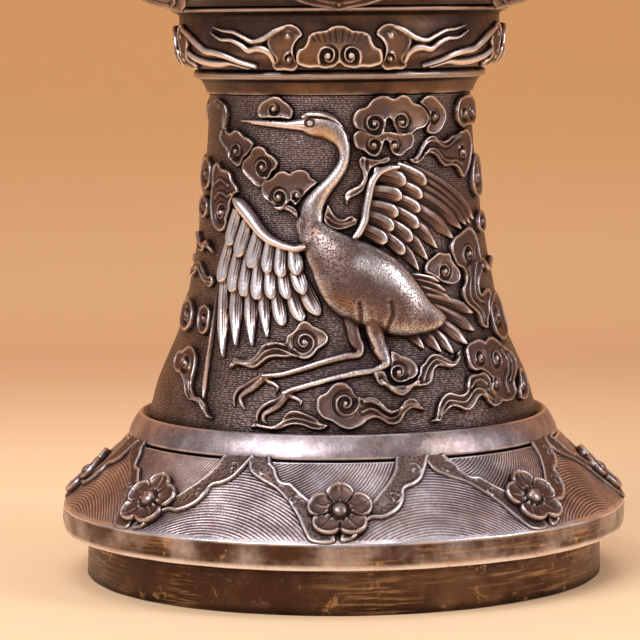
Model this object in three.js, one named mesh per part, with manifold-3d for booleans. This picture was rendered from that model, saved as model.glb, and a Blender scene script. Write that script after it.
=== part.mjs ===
// A bronze flower vase, built as a stack of turned and soldered shells with raised ornament.
// Millimetres, +Z up. The origin is the centre of the ring that the vase stands on.
// Angles run round the axis from the front, which faces -Y, and grow towards +X.

import * as THREE from 'three';
import { mergeVertices } from 'three/addons/utils/BufferGeometryUtils.js';
import Module from 'manifold-3d';

const wasm = await Module();
wasm.setup();

// Driving dimensions: general
const FACETS = 24; // flats round every turned piece
const CLEARANCE = 0.3; // between a spigot and its bore, and under each ornament
const WALL = 3; // of every shell
const SPIGOT_WALL = 1.6; // of the short tube that a shell sends into the next one
const SPIGOT_REACH = 3; // of that tube inside the next shell

// Driving dimensions: heights of the shells, from the bottom up
const FOOT_HEIGHT = 9.8;
const FLANGE_HEIGHT = 5.3;
const SKIRT_HEIGHT = 14.9;
const BAND_HEIGHT = 4;
const STEM_HEIGHT = 68;
const COLLAR_HEIGHT = 5.4;
const KNOP_HEIGHT = 12.8;
const CUP_HEIGHT = 15.8;
const DRUM_HEIGHT = 22;
const SHOULDER_HEIGHT = 18;
const NECK_KNOP_HEIGHT = 11;
const NECK_HEIGHT = 109;
const LIP_HEIGHT = 4;
const FLOOR_LEVEL = 6.2; // underside of the disc that closes the foot
const FLOOR_THICKNESS = 1.8;

// Driving dimensions: outer radii
const FOOT_RADIUS = 54.9;
const FLANGE_RADIUS = 60;
const SKIRT_TOP_RADIUS = 45.5;
const BAND_LEDGE = 4; // width of the band's sloping top
const STEM_FOOT_RADIUS = SKIRT_TOP_RADIUS - BAND_LEDGE;
const STEM_TOP_RADIUS = 27.6;
const COLLAR_RADIUS = 30.8;
const KNOP_RADIUS = 33.9;
const CUP_FOOT_RADIUS = 36;
const DRUM_EDGE_RADIUS = 52;
const DRUM_RADIUS = 54.5;
const SHOULDER_TOP_RADIUS = 30.5;
const NECK_KNOP_RADIUS = 33.2;
const NECK_RADIUS = 25;
const LIP_RADIUS = 58;
const LIP_OVERHANG = 4;
const NECK_TOP_RADIUS = LIP_RADIUS - LIP_OVERHANG;

// Driving dimensions: ornament
const RELIEF = 1.1; // height of a cloud above its ground
const FEATHER_STEP = 0.5; // by which a row of feathers stands above the row that it overlaps
const CRANE_DEPTH = 4.6; // most that a bird's body stands out
const CRANE_COUNT = 2;
const BLOSSOM_COUNT = 8;
const BLOSSOM_RADIUS = 6.4;
const BLOSSOM_TURN = -1.3; // degrees from the front to the first blossom
const KNOP_CLOUD_COUNT = 4;
const LAPPET_COUNT = 6;
const SHOULDER_PETAL_COUNT = 10;
const LEAF_COUNT = 8;

// Levels of the joints between the shells
const SKIRT_LEVEL = FOOT_HEIGHT + FLANGE_HEIGHT;
const BAND_LEVEL = SKIRT_LEVEL + SKIRT_HEIGHT;
const STEM_LEVEL = BAND_LEVEL + BAND_HEIGHT;
const COLLAR_LEVEL = STEM_LEVEL + STEM_HEIGHT;
const KNOP_LEVEL = COLLAR_LEVEL + COLLAR_HEIGHT;
const CUP_LEVEL = KNOP_LEVEL + KNOP_HEIGHT;
const DRUM_LEVEL = CUP_LEVEL + CUP_HEIGHT;
const SHOULDER_LEVEL = DRUM_LEVEL + DRUM_HEIGHT;
const NECK_KNOP_LEVEL = SHOULDER_LEVEL + SHOULDER_HEIGHT;
const NECK_LEVEL = NECK_KNOP_LEVEL + NECK_KNOP_HEIGHT;
const LIP_LEVEL = NECK_LEVEL + NECK_HEIGHT;

// Outer radii of the spigots, each set by the thinner of the two walls that it joins
const FOOT_SPIGOT = FOOT_RADIUS - SPIGOT_WALL;
const SKIRT_SPIGOT = STEM_FOOT_RADIUS - WALL - CLEARANCE;
const STEM_SPIGOT = STEM_TOP_RADIUS - WALL + CLEARANCE;
const KNOP_SPIGOT = KNOP_RADIUS - WALL - SPIGOT_WALL;
const DRUM_SPIGOT = DRUM_EDGE_RADIUS - WALL;
const SHOULDER_SPIGOT = SHOULDER_TOP_RADIUS - WALL;
const NECK_KNOP_SPIGOT = NECK_RADIUS - SPIGOT_WALL;
const NECK_SPIGOT = NECK_TOP_RADIUS - WALL;

const DEGREE = Math.PI / 180;
const darkBronze = { color: 0x5a463f, metalness: 1, roughness: 0.45 };
const wornBronze = { color: 0x7a5c42, metalness: 1, roughness: 0.5 };
const rubbedBronze = { color: 0x9a8078, metalness: 1, roughness: 0.35 };

// A closed mesh as a solid that can be joined and cut
function solid(geometry) {
  geometry.deleteAttribute('normal');
  geometry.deleteAttribute('uv');
  const merged = mergeVertices(geometry, 1e-4);
  const corners = merged.index.array;
  const faces = [];
  for (let i = 0; i < corners.length; i += 3) {
    const [a, b, c] = corners.slice(i, i + 3);
    if (a !== b && b !== c && c !== a) faces.push(a, b, c);
  }
  return new wasm.Manifold(new wasm.Mesh({
    numProp: 3,
    vertProperties: new Float32Array(merged.attributes.position.array),
    triVerts: new Uint32Array(faces),
  }));
}

// A solid as a named mesh with its finish
function piece(name, body, finish) {
  const { vertProperties, triVerts } = body.getMesh();
  const geometry = new THREE.BufferGeometry();
  geometry.setAttribute('position', new THREE.BufferAttribute(new Float32Array(vertProperties), 3));
  geometry.setIndex(new THREE.BufferAttribute(new Uint32Array(triVerts), 1));
  geometry.computeVertexNormals();
  const mesh = new THREE.Mesh(geometry, new THREE.MeshStandardMaterial(finish));
  mesh.name = name;
  return mesh;
}

const join = (solids) => solids.reduce((sum, next) => sum.add(next));

// Turns a closed profile of [radius, height] points, listed up the outside and down the inside
function turned(profile) {
  const points = [...profile, profile[0]].map(([radius, height]) => new THREE.Vector2(radius, height));
  return solid(new THREE.LatheGeometry(points, FACETS).rotateX(Math.PI / 2));
}

// A smooth line through stations [x, y] with growing x, as a function of x
function smoothThrough(stations) {
  const slope = (i) => {
    const before = stations[Math.max(i - 1, 0)];
    const after = stations[Math.min(i + 1, stations.length - 1)];
    return (after[1] - before[1]) / (after[0] - before[0]);
  };
  return (x) => {
    const last = stations.length - 1;
    const i = Math.min(stations.findIndex(([place], k) => k > 0 && (x <= place || k === last)), last);
    const [[x0, y0], [x1, y1]] = [stations[i - 1], stations[i]];
    const step = x1 - x0;
    const t = (x - x0) / step;
    const leave = t * (1 - t) * (1 - t) * step * slope(i - 1);
    const arrive = t * t * (1 - t) * step * slope(i);
    return y0 + (y1 - y0) * t * t * (3 - 2 * t) + leave - arrive;
  };
}

// Evenly spaced profile points from a level up, where shares of the height give shares between two radii
function flare(level, height, low, high, stations, count) {
  const share = smoothThrough(stations);
  return Array.from({ length: count + 1 }, (_, i) => [
    low + (high - low) * share(i / count),
    level + (height * i) / count,
  ]);
}

// The profile moved outwards by a distance, square to itself
function offset(profile, distance) {
  const normals = profile.slice(1).map(([radius, height], i) => (
    new THREE.Vector2(height - profile[i][1], profile[i][0] - radius).normalize()
  ));
  return profile.map(([radius, height], i) => {
    const below = normals[Math.max(i - 1, 0)];
    const above = normals[Math.min(i, normals.length - 1)];
    const middle = below.clone().add(above).normalize();
    const reach = distance / middle.dot(above);
    return [radius + middle.x * reach, height + middle.y * reach];
  });
}

// The layer of space between two distances from a turned surface
function skin(profile, from, to) {
  return turned([...offset(profile, to), ...offset(profile, from).reverse()]);
}

// A turned shell. Its bottom drops over a spigot of radius socket, and its top sends up a spigot of its own.
// The inside keeps one wall's distance from the outside, at every step-th point of it.
function shell(outer, socket, spigot, { step = 1, reach = SPIGOT_REACH } = {}) {
  const bottom = outer[0][1];
  const top = outer[outer.length - 1][1];
  const bore = socket + CLEARANCE;
  const seat = bottom + SPIGOT_REACH + CLEARANCE;
  const roof = top - WALL;
  const inside = offset(outer, -WALL).filter(([, height], i) => (
    i % step === 0 && height > seat + WALL / 2 && height < roof - WALL / 2
  ));
  return turned([
    ...outer,
    [spigot, top],
    [spigot, top + reach],
    [spigot - SPIGOT_WALL, top + reach],
    [spigot - SPIGOT_WALL, roof],
    ...inside.reverse(),
    [bore, seat],
    [bore, bottom],
  ]);
}

// Foot: a straight ring with a ledge inside, and the disc that closes the vase on that ledge
const footLedge = FOOT_SPIGOT - SPIGOT_WALL;
const footRing = turned([
  [FOOT_RADIUS, 0],
  [FOOT_RADIUS, FOOT_HEIGHT],
  [FOOT_SPIGOT, FOOT_HEIGHT],
  [FOOT_SPIGOT, FOOT_HEIGHT + SPIGOT_REACH],
  [footLedge, FOOT_HEIGHT + SPIGOT_REACH],
  [footLedge, FLOOR_LEVEL],
  [footLedge - WALL, FLOOR_LEVEL],
  [footLedge, 0],
]);
const floorRadius = footLedge - CLEARANCE;
const floorDisc = turned([
  [0, FLOOR_LEVEL],
  [floorRadius, FLOOR_LEVEL],
  [floorRadius, FLOOR_LEVEL + FLOOR_THICKNESS],
  [0, FLOOR_LEVEL + FLOOR_THICKNESS],
]);

// Skirt: the heavy flange and the hollowed slope above it, with the long spigot that carries band and stem
const SKIRT_HOLLOW = [[0, 0], [0.28, 0.33], [0.55, 0.6], [0.75, 0.77], [0.92, 0.91], [1, 1]];
const skirtSlope = flare(SKIRT_LEVEL, SKIRT_HEIGHT, FLANGE_RADIUS, SKIRT_TOP_RADIUS, SKIRT_HOLLOW, 4);
const skirt = shell([[FLANGE_RADIUS, FOOT_HEIGHT], ...skirtSlope], FOOT_SPIGOT, SKIRT_SPIGOT, {
  step: 3,
  reach: BAND_HEIGHT + SPIGOT_REACH,
});

// Waist band: a slightly crowned ring threaded over the skirt's spigot
const waistBand = turned([
  [SKIRT_TOP_RADIUS, BAND_LEVEL],
  [SKIRT_TOP_RADIUS + 0.4, BAND_LEVEL + BAND_HEIGHT * 0.3],
  [SKIRT_TOP_RADIUS - 0.2, BAND_LEVEL + BAND_HEIGHT * 0.7],
  [SKIRT_TOP_RADIUS - 2.2, STEM_LEVEL],
  [SKIRT_SPIGOT + CLEARANCE, STEM_LEVEL],
  [SKIRT_SPIGOT + CLEARANCE, BAND_LEVEL],
]);

// Stem: the tall waisted tube that carries the birds
const STEM_WAIST = [[0, 1], [0.11, 0.835], [0.26, 0.52], [0.41, 0.33], [0.56, 0.2], [0.71, 0.1], [1, 0]];
const stemProfile = flare(STEM_LEVEL, STEM_HEIGHT, STEM_TOP_RADIUS, STEM_FOOT_RADIUS, STEM_WAIST, 5);
const stem = shell(stemProfile, SKIRT_SPIGOT, STEM_SPIGOT, { reach: COLLAR_HEIGHT + SPIGOT_REACH });

// Stem collar: a bead threaded over the stem's spigot, under the knop
const stemCollar = turned([
  [STEM_TOP_RADIUS + 0.5, COLLAR_LEVEL],
  [COLLAR_RADIUS - 1.4, COLLAR_LEVEL + COLLAR_HEIGHT * 0.5],
  [COLLAR_RADIUS, COLLAR_LEVEL + COLLAR_HEIGHT * 0.65],
  [COLLAR_RADIUS, COLLAR_LEVEL + COLLAR_HEIGHT * 0.9],
  [COLLAR_RADIUS - 0.5, KNOP_LEVEL],
  [STEM_SPIGOT + CLEARANCE, KNOP_LEVEL],
  [STEM_SPIGOT + CLEARANCE, COLLAR_LEVEL],
]);

// Lower knop: an upright drum between two beads
const KNOP_SWELL = [[0, 0], [0.2, 0.8], [0.36, 1], [0.84, 1], [0.92, 1.65], [1, 1.65]];
const knopFoot = COLLAR_RADIUS + 0.4;
const knopProfile = KNOP_SWELL.map(([share, swell]) => [
  knopFoot + (KNOP_RADIUS - knopFoot) * swell,
  KNOP_LEVEL + KNOP_HEIGHT * share,
]);
const lowerKnop = shell(knopProfile, STEM_SPIGOT, KNOP_SPIGOT);

// Body: a cup on the knop, a swelling drum and a rounded shoulder
const CUP_BELL = [[0, 0], [0.1, 0.24], [0.28, 0.52], [0.5, 0.76], [0.75, 0.93], [1, 1]];
const cupProfile = flare(CUP_LEVEL, CUP_HEIGHT, CUP_FOOT_RADIUS, DRUM_EDGE_RADIUS, CUP_BELL, 5);
const cupShell = shell(cupProfile, KNOP_SPIGOT, DRUM_SPIGOT, { step: 2 });
const DRUM_SWELL = [[0, 0], [0.25, 0.75], [0.5, 1], [0.75, 0.75], [1, 0]];
const drumProfile = flare(DRUM_LEVEL, DRUM_HEIGHT, DRUM_EDGE_RADIUS, DRUM_RADIUS, DRUM_SWELL, 4);
const bodyDrum = shell(drumProfile, DRUM_SPIGOT, DRUM_SPIGOT, { step: 2 });
const SHOULDER_ROUND = [[0, 0], [0.25, 0.12], [0.5, 0.37], [0.75, 0.74], [0.9, 0.93], [1, 1]];
const shoulderProfile = flare(
  SHOULDER_LEVEL, SHOULDER_HEIGHT, DRUM_EDGE_RADIUS, SHOULDER_TOP_RADIUS, SHOULDER_ROUND, 5,
);
const shoulderShell = shell(shoulderProfile, DRUM_SPIGOT, SHOULDER_SPIGOT, { step: 2 });

// Neck: an upper knop, the trumpet and its rolled lip
const NECK_KNOP_SWELL = [[0, 0.3], [0.18, 1], [0.8, 1], [1, 0.1]];
const neckKnopFoot = SHOULDER_TOP_RADIUS;
const neckKnopProfile = NECK_KNOP_SWELL.map(([share, swell]) => [
  neckKnopFoot + (NECK_KNOP_RADIUS - neckKnopFoot) * swell,
  NECK_KNOP_LEVEL + NECK_KNOP_HEIGHT * share,
]);
const neckKnop = shell(neckKnopProfile, SHOULDER_SPIGOT, NECK_KNOP_SPIGOT);
const TRUMPET = [
  [0, 0.1], [0.06, 0.02], [0.16, 0], [0.4, 0.05], [0.6, 0.16], [0.75, 0.33], [0.88, 0.6], [1, 1],
];
const neckProfile = flare(NECK_LEVEL, NECK_HEIGHT, NECK_RADIUS, NECK_TOP_RADIUS, TRUMPET, 8);
const neckShell = shell(neckProfile, NECK_KNOP_SPIGOT, NECK_SPIGOT);
const LIP_ROLL = [[1, 0], [0.2, 0.12], [0, 0.5], [0.2, 0.88], [0.6, 1]]; // shares of its overhang and height
const lip = turned([
  ...LIP_ROLL.map(([back, up]) => [LIP_RADIUS - LIP_OVERHANG * back, LIP_LEVEL + LIP_HEIGHT * up]),
  [NECK_SPIGOT + CLEARANCE, LIP_LEVEL + LIP_HEIGHT],
  [NECK_SPIGOT + CLEARANCE, LIP_LEVEL],
]);

// The plane that touches a turned surface: x runs round, y up the surface, z outwards. Lean is its tilt back.
function tangentPlane(angle, radius, height, lean = 0) {
  const turn = new THREE.Matrix4().makeRotationZ(angle);
  const out = new THREE.Matrix4().makeTranslation(0, -radius, height);
  const stand = new THREE.Matrix4().makeRotationX(Math.PI / 2 - lean);
  return turn.multiply(out).multiply(stand);
}

// A straight bar with a flat outline on that plane, from a depth below it to a height above it
function bar(outline, plane, below = 14, above = 8) {
  const depth = below + above;
  const geometry = new THREE.ExtrudeGeometry(new THREE.Shape(outline), { depth, bevelEnabled: false });
  return solid(geometry.translate(0, 0, -below).applyMatrix4(plane));
}

// The radius of a profile at a height
function radiusOn(profile, height) {
  const past = profile.findIndex(([, level], i) => i > 0 && (height <= level || i === profile.length - 1));
  const [[r0, h0], [r1, h1]] = [profile[past - 1], profile[past]];
  return r0 + ((r1 - r0) * (height - h0)) / (h1 - h0);
}

// One flat shape of the relief, as a bar. Its outline is drawn on the surface as [millimetres round, height],
// and the bar stands square to the surface at the outline's middle.
function stamp(profile, outline) {
  const angles = outline.map(([round, height]) => round / radiusOn(profile, height));
  const middle = angles.reduce((sum, angle) => sum + angle) / angles.length;
  const flat = outline.map(([, height], i) => (
    new THREE.Vector2(radiusOn(profile, height) * Math.sin(angles[i] - middle), height)
  ));
  return bar(flat, tangentPlane(middle, radiusOn(profile, outline[0][1]), 0));
}

// Outline of a round lobe [round, height, radius]
function lobe([round, height, radius], sides = 6) {
  return Array.from({ length: sides }, (_, i) => {
    const turn = (2 * Math.PI * (i + 0.5)) / sides;
    return [round + radius * Math.cos(turn), height + radius * Math.sin(turn)];
  });
}

// Outline of a ribbon along a path of [round, height, width]
function ribbon(path) {
  const across = path.map((_, i) => {
    const [before, after] = [path[Math.max(i - 1, 0)], path[Math.min(i + 1, path.length - 1)]];
    return new THREE.Vector2(before[1] - after[1], after[0] - before[0]).normalize();
  });
  const side = (sign) => path.map(([round, height, width], i) => [
    round + (sign * across[i].x * width) / 2,
    height + (sign * across[i].y * width) / 2,
  ]);
  return [...side(1), ...side(-1).reverse()];
}

// Outline of a row of feathers [root round, root height, tip round, tip height, width], side by side: it runs
// along the roots, then back along the tips. A lowest row has a notch between each two feathers.
const NOTCH = 0.62; // share of a feather's length at which it leaves its neighbour
function featherRow(row, notched) {
  const at = ([round, height, tipRound, tipHeight], share) => (
    [round + (tipRound - round) * share, height + (tipHeight - height) * share]
  );
  const roots = row.filter((_, i) => i % 2 === 0 || i === row.length - 1).map((one) => at(one, 0));
  const ends = row.flatMap((one, i) => {
    const [round, height, tipRound, tipHeight, width] = one;
    const along = new THREE.Vector2(tipRound - round, tipHeight - height).normalize();
    const side = (sign) => {
      const [x, y] = at(one, 0.85);
      return [x - sign * along.y * width * 0.42, y + sign * along.x * width * 0.42];
    };
    const next = row[i + 1];
    const notch = next ? [at(one, NOTCH).map((value, k) => (value + at(next, NOTCH)[k]) / 2)] : [];
    return notched ? [side(-1), [tipRound, tipHeight], ...notch] : [[tipRound, tipHeight]];
  });
  return [...roots, ...ends.reverse()];
}

// A limb along a path of [round, height, out, radius] over a surface, with a round section and closed ends
const LIMB_SIDES = 4;
function limb(profile, path) {
  const last = path.length - 1;
  const axis = new THREE.Vector3(0, 0, 1);
  const points = path.map(([round, height, out]) => {
    const radius = radiusOn(profile, height);
    return new THREE.Vector3(0, -radius - out, height).applyAxisAngle(axis, round / radius);
  });
  const corners = points.flatMap((point, i) => {
    const along = points[Math.min(i + 1, last)].clone().sub(points[Math.max(i - 1, 0)]).normalize();
    const outwards = new THREE.Vector3(point.x, point.y, 0).normalize();
    const sideways = along.clone().cross(outwards).normalize();
    const upright = sideways.clone().cross(along);
    return Array.from({ length: LIMB_SIDES }, (_, k) => {
      const turn = (2 * Math.PI * k) / LIMB_SIDES;
      return point.clone()
        .addScaledVector(sideways, Math.cos(turn) * path[i][3])
        .addScaledVector(upright, Math.sin(turn) * path[i][3]);
    });
  });
  const faces = [];
  for (let i = 0; i < last; i += 1) {
    for (let k = 0; k < LIMB_SIDES; k += 1) {
      const [a, b] = [i * LIMB_SIDES + k, i * LIMB_SIDES + ((k + 1) % LIMB_SIDES)];
      faces.push(a, a + LIMB_SIDES, b, b, a + LIMB_SIDES, b + LIMB_SIDES);
    }
  }
  const end = last * LIMB_SIDES;
  for (let k = 1; k + 1 < LIMB_SIDES; k += 1) {
    faces.push(0, k, k + 1, end, end + k + 1, end + k);
  }
  const geometry = new THREE.BufferGeometry().setFromPoints(corners);
  geometry.setIndex(faces);
  return solid(geometry);
}

// The relief of the stem is drawn at its real size on a stem of this foot level and height, and is
// stretched with the stem
const DRAWN_LEVEL = 34;
const DRAWN_HEIGHT = 68;
const onStem = ([round, height, ...sizes]) => [
  round,
  STEM_LEVEL + ((height - DRAWN_LEVEL) * STEM_HEIGHT) / DRAWN_HEIGHT,
  ...sizes,
];
const stemRelief = (outlines, height) => (
  join(outlines.map((outline) => stamp(stemProfile, outline.map(onStem))))
    .intersect(skin(stemProfile, CLEARANCE, CLEARANCE + height))
);

// Clouds of the stem, each a plate of round lobes [round, height, radius] and of ribbon tails along points
// [round, height, width]
const STEM_CLOUDS = {
  beak: { lobes: [[-15.4, 99.6, 2.4], [-12.4, 99.6, 2.5]], tails: [] },
  neck: {
    lobes: [[-23.6, 91.2, 4], [-17.2, 87.4, 4.6], [-12.9, 82.3, 3.8], [-10, 84, 2.8]],
    tails: [[[-25.5, 91.5, 2.6], [-27.2, 95.5, 2], [-30.2, 100.2, 2]]],
  },
  crown: {
    lobes: [
      [6, 97, 4.2], [11, 98.4, 3.8], [16, 97.2, 3.8],
      [6, 92.2, 3.6], [12, 92.6, 3.6], [20.5, 98.3, 2.8],
    ],
    tails: [[[5.6, 91, 2.6], [4.5, 85, 2], [0.9, 80.2, 1]]],
  },
  streamer: {
    lobes: [],
    tails: [[[14.8, 88.6, 1], [19.8, 91.3, 3.2], [25.2, 89.4, 5], [31, 88.7, 6.2], [33.6, 87.5, 4.4]]],
  },
  rump: {
    lobes: [[21.7, 66.3, 3.2], [24.9, 65.4, 3], [29.6, 69.6, 4.4], [31.5, 65.5, 4]],
    tails: [[[31.5, 64, 4], [34, 57.5, 2.4], [36, 53, 1.2]]],
  },
  leg: {
    lobes: [[-8.6, 52.6, 3.2], [-5.1, 52.8, 2.6]],
    tails: [[[-8, 50.6, 2.2], [-14, 50.5, 2.2], [-19, 47.7, 1.6], [-24.5, 47.7, 0.8]]],
  },
  toe: {
    lobes: [[0.6, 40.6, 3.7], [-2.6, 39.6, 3]],
    tails: [
      [[-1, 37, 2.4], [-5, 36.6, 2.2], [-9.5, 37.6, 2.4], [-13, 35.9, 1.5], [-19, 35.4, 0.8]],
      [[2, 38, 3], [6, 39.6, 3.4], [10, 37.4, 2.8], [13, 39.6, 2.2], [16.5, 38.9, 1.1]],
    ],
  },
  belly: {
    lobes: [[12.8, 45.2, 3.3], [10, 43.8, 2.6]],
    tails: [[[12, 43.6, 2.6], [17.5, 44.8, 2.8], [20, 47.6, 2.2], [26, 48.2, 1.2]]],
  },
  hem: {
    lobes: [[31, 48.2, 3.5], [36.8, 48, 4]],
    tails: [[[33, 47.5, 4.4], [30.5, 42.7, 4.2], [23.5, 40, 2.8], [20, 36.5, 1.6]]],
  },
  pinion: {
    lobes: [[-39, 45.7, 3.8], [-43, 46, 3.6]],
    tails: [[[-38.6, 44, 3], [-34, 39.8, 2.5], [-29.8, 36.6, 1]]],
  },
  wing: { lobes: [[-29.2, 82.5, 4.6], [-30, 77, 4.8]], tails: [] },
};
const cloudOutlines = ({ lobes, tails }) => [...lobes.map((round) => lobe(round)), ...tails.map(ribbon)];

// Crane: the near wing hangs in three overlapping rows of feathers, and the far wing fans out behind the back
const NEAR_WING = [
  [
    [-30, 58, -31.6, 41, 1.4], [-27.6, 63, -27.6, 49.6, 3.2], [-23.8, 63, -24, 50.6, 3.6],
    [-20.3, 62.5, -19.6, 51.5, 3.2], [-17, 62.5, -16, 53.2, 2.8], [-14, 62.5, -12.4, 55.5, 2.8],
    [-11, 62, -8.4, 56.6, 2.8], [-7.6, 63.5, -4.9, 57.8, 3],
  ],
  [
    [-26.3, 73, -28.2, 63.5, 3], [-22.6, 70.5, -24.6, 61.8, 3.1], [-20.2, 69, -21.3, 61, 2.8],
    [-17.7, 68.5, -18, 60.6, 2.9], [-14.8, 68, -14.5, 61, 2.9], [-12.2, 67.5, -11, 60.8, 2.7],
    [-9.8, 67.5, -7.8, 62, 2.8],
  ],
  [
    [-22.8, 79.3, -24.6, 70.7, 3], [-20.2, 77, -22.3, 69, 2.9], [-17.2, 74.6, -19.3, 66.9, 3.1],
    [-15, 73, -15.6, 65.8, 2.6], [-12.4, 72.2, -12.5, 65.2, 2.5], [-9.4, 71.8, -9.2, 65.6, 2.9],
  ],
];
const FAR_WING = [
  [
    [9, 73, 16.8, 66.2, 2.5], [11.5, 74.6, 18.7, 68.3, 2.5], [13, 76.5, 21.5, 70.2, 2.5],
    [13.5, 78.5, 25.2, 72.8, 2.6], [14, 80.5, 28.2, 73.6, 2.5], [14, 82.5, 31, 74.3, 2.6],
    [14, 84.5, 33.6, 74.8, 2.6], [14, 86.5, 33.2, 77.3, 2.4],
  ],
  [
    [3.5, 74.4, 13, 70.6, 2.5], [5, 77.2, 14.7, 72.2, 2.5], [5.6, 80.2, 16.3, 75.4, 2.6],
    [6, 82.4, 16.7, 78.8, 2.5], [6, 84.6, 17, 81.6, 2.5], [6.8, 86.6, 17.4, 84.5, 2.5],
  ],
  [
    [3.5, 74.4, 9, 72, 2.8], [5, 77.2, 10.5, 74.3, 2.8], [5.6, 80.2, 11.5, 77.4, 2.8],
    [6, 83.2, 12.4, 80.4, 3], [6.8, 86, 13.3, 83.6, 3],
  ],
];
const TAIL = [
  [12, 56, 17.6, 50.4, 2.1], [14.5, 56, 21.7, 49.4, 2.2], [16, 57, 24.4, 48.9, 2.2],
  [17, 58.5, 30, 51.5, 2.6], [16, 61, 31, 56.5, 3],
];
const NEAR_ARM = [[-23.8, 80.2, 1, 1], [-21.8, 79.4, 1.2, 1.2], [-15, 73.2, 1.2, 1.2], [-7, 71.6, 1.2, 1.2]];
const FAR_ARM = [[0.5, 71.5, 1, 1.1], [4.5, 75.5, 1, 1.1], [7.4, 85.5, 1, 1.1], [12.5, 87, 1, 1]];
const NECK_AND_BEAK = [
  [-4, 68, 1.2, 4.6], [-6.8, 76.5, 1.3, 2.8], [-5.6, 81, 1.2, 2.4], [-0.9, 86.6, 1, 1.6],
  [0.6, 91, 1, 1.3], [-0.8, 94.8, 1.1, 1.8], [-4.5, 96.8, 1.2, 2.3],
  [-8, 96.1, 1, 1.1], [-22.8, 96.8, 0.7, 0.2],
];
const LEGS = [
  [
    [6.5, 59, 1, 3], [9.6, 48, 0.8, 0.9],
    [-9, 43.6, 0.7, 0.8], [-12.5, 42, 0.7, 0.9], [-17.6, 37.2, 0.6, 0.4],
  ],
  [
    [1.5, 58.5, 1, 2.6], [4, 50.6, 0.8, 0.9],
    [-15, 46.3, 0.7, 0.8], [-18.6, 44.8, 0.7, 0.9], [-24, 39.8, 0.6, 0.4],
  ],
  [[-12.5, 42, 0.7, 0.8], [-16, 36.8, 0.6, 0.4]],
  [[-12.5, 42, 0.7, 0.7], [-9, 41.6, 0.6, 0.4]],
  [[-18.6, 44.8, 0.7, 0.8], [-21.6, 39, 0.6, 0.4]],
  [[-18.6, 44.8, 0.7, 0.7], [-14.6, 43.7, 0.6, 0.4]],
];
const BODY_MIDDLE = [7.6, 62.6];
const BODY_SIZE = [16.6, 8.9, CRANE_DEPTH]; // half its length and breadth, and its depth
const BODY_TILT = -28;

function craneBody() {
  const [round, height] = onStem(BODY_MIDDLE);
  const radius = radiusOn(stemProfile, height);
  const egg = new THREE.SphereGeometry(1, 10, 6)
    .rotateZ(Math.PI / 2)
    .scale(...BODY_SIZE)
    .rotateZ(BODY_TILT * DEGREE);
  return solid(egg.applyMatrix4(tangentPlane(round / radius, radius, height)));
}

function crane() {
  const rows = [NEAR_WING, FAR_WING].flatMap((wing) => (
    wing.map((row, i) => stemRelief([featherRow(row, i === 0)], RELIEF + FEATHER_STEP * (i - 1)))
  ));
  const paths = [NEAR_ARM, FAR_ARM, NECK_AND_BEAK, ...LEGS];
  const rounded = join([craneBody(), ...paths.map((path) => limb(stemProfile, path.map(onStem)))])
    .intersect(skin(stemProfile, CLEARANCE, CLEARANCE + CRANE_DEPTH));
  return join([...rows, stemRelief([featherRow(TAIL, true)], RELIEF), rounded]);
}

// Plum blossom: five round petals and a boss, square to the skirt's slope
const PETALS = 5;
const PETAL_POINTS = 3;
const BLOSSOM_DEPTH = 3; // more than the skirt falls away under a blossom's edge
const PETAL_NOTCH = 0.3; // share of the blossom's radius by which its outline dips between petals
function blossomOutline() {
  const count = PETALS * PETAL_POINTS;
  return Array.from({ length: count }, (_, i) => {
    const turn = (2 * Math.PI * i) / count;
    const fullness = Math.abs(Math.cos((PETALS * turn) / 2)) ** 0.6;
    const reach = BLOSSOM_RADIUS * (1 - PETAL_NOTCH * (1 - fullness));
    return [-reach * Math.sin(turn), reach * Math.cos(turn)];
  });
}

function blossom() {
  const [low, high] = [skirtSlope[1], skirtSlope[3]];
  const [radius, height] = [(low[0] + high[0]) / 2, (low[1] + high[1]) / 2];
  const lean = Math.atan2(low[0] - high[0], high[1] - low[1]);
  const plane = tangentPlane(BLOSSOM_TURN * DEGREE, radius, height, lean);
  const cut = (outline, rise) => (
    bar(outline.map(([x, y]) => new THREE.Vector2(x, y)), plane, BLOSSOM_DEPTH, rise)
      .intersect(skin(skirtSlope, CLEARANCE, BLOSSOM_DEPTH + rise))
  );
  return join([cut(blossomOutline(), RELIEF), cut(lobe([0, 0, BLOSSOM_RADIUS * 0.25]), RELIEF * 2)]);
}

// Knop cloud: a ruyi head with a pair of waving tails, drawn from the knop's lower edge up
const KNOP_LOBES = [[-4.6, 4, 3.4], [4.6, 4, 3.4], [0, 6, 3.6]];
const KNOP_TAIL = [[6, 4.6, 3], [14, 6.2, 4.4], [18.5, 5, 3], [26, 6.9, 2]];
const onKnop = ([across, height]) => [across, KNOP_LEVEL + height];
const knopRelief = (outlines) => (
  join(outlines.map((outline) => stamp(knopProfile, outline.map(onKnop))))
    .intersect(skin(knopProfile.slice(0, 4), CLEARANCE, CLEARANCE + RELIEF))
);
const mirrored = (path) => path.map(([round, ...rest]) => [-round, ...rest]).reverse();
const knopCloud = knopRelief([
  ...KNOP_LOBES.map((round) => lobe(round)),
  ribbon(KNOP_TAIL),
  ribbon(mirrored(KNOP_TAIL)),
]);

// Lotus lappets of the cup, their points hanging down. They are cast with the cup. Their outline is drawn as
// [millimetres across, share of the cup's height].
const LAPPET = [[0, 0.07], [8, 0.27], [14, 0.66], [13, 0.95], [-13, 0.95], [-14, 0.66], [-8, 0.27]];
const LAPPET_BAR = 24; // depth of the bar that cuts a lappet
function lappet(angle) {
  const outline = LAPPET.map(([across, share]) => new THREE.Vector2(across, share * CUP_HEIGHT));
  return bar(outline, tangentPlane(angle, DRUM_EDGE_RADIUS, CUP_LEVEL), LAPPET_BAR, WALL)
    .intersect(skin(cupProfile, -WALL / 2, RELIEF));
}

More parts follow.
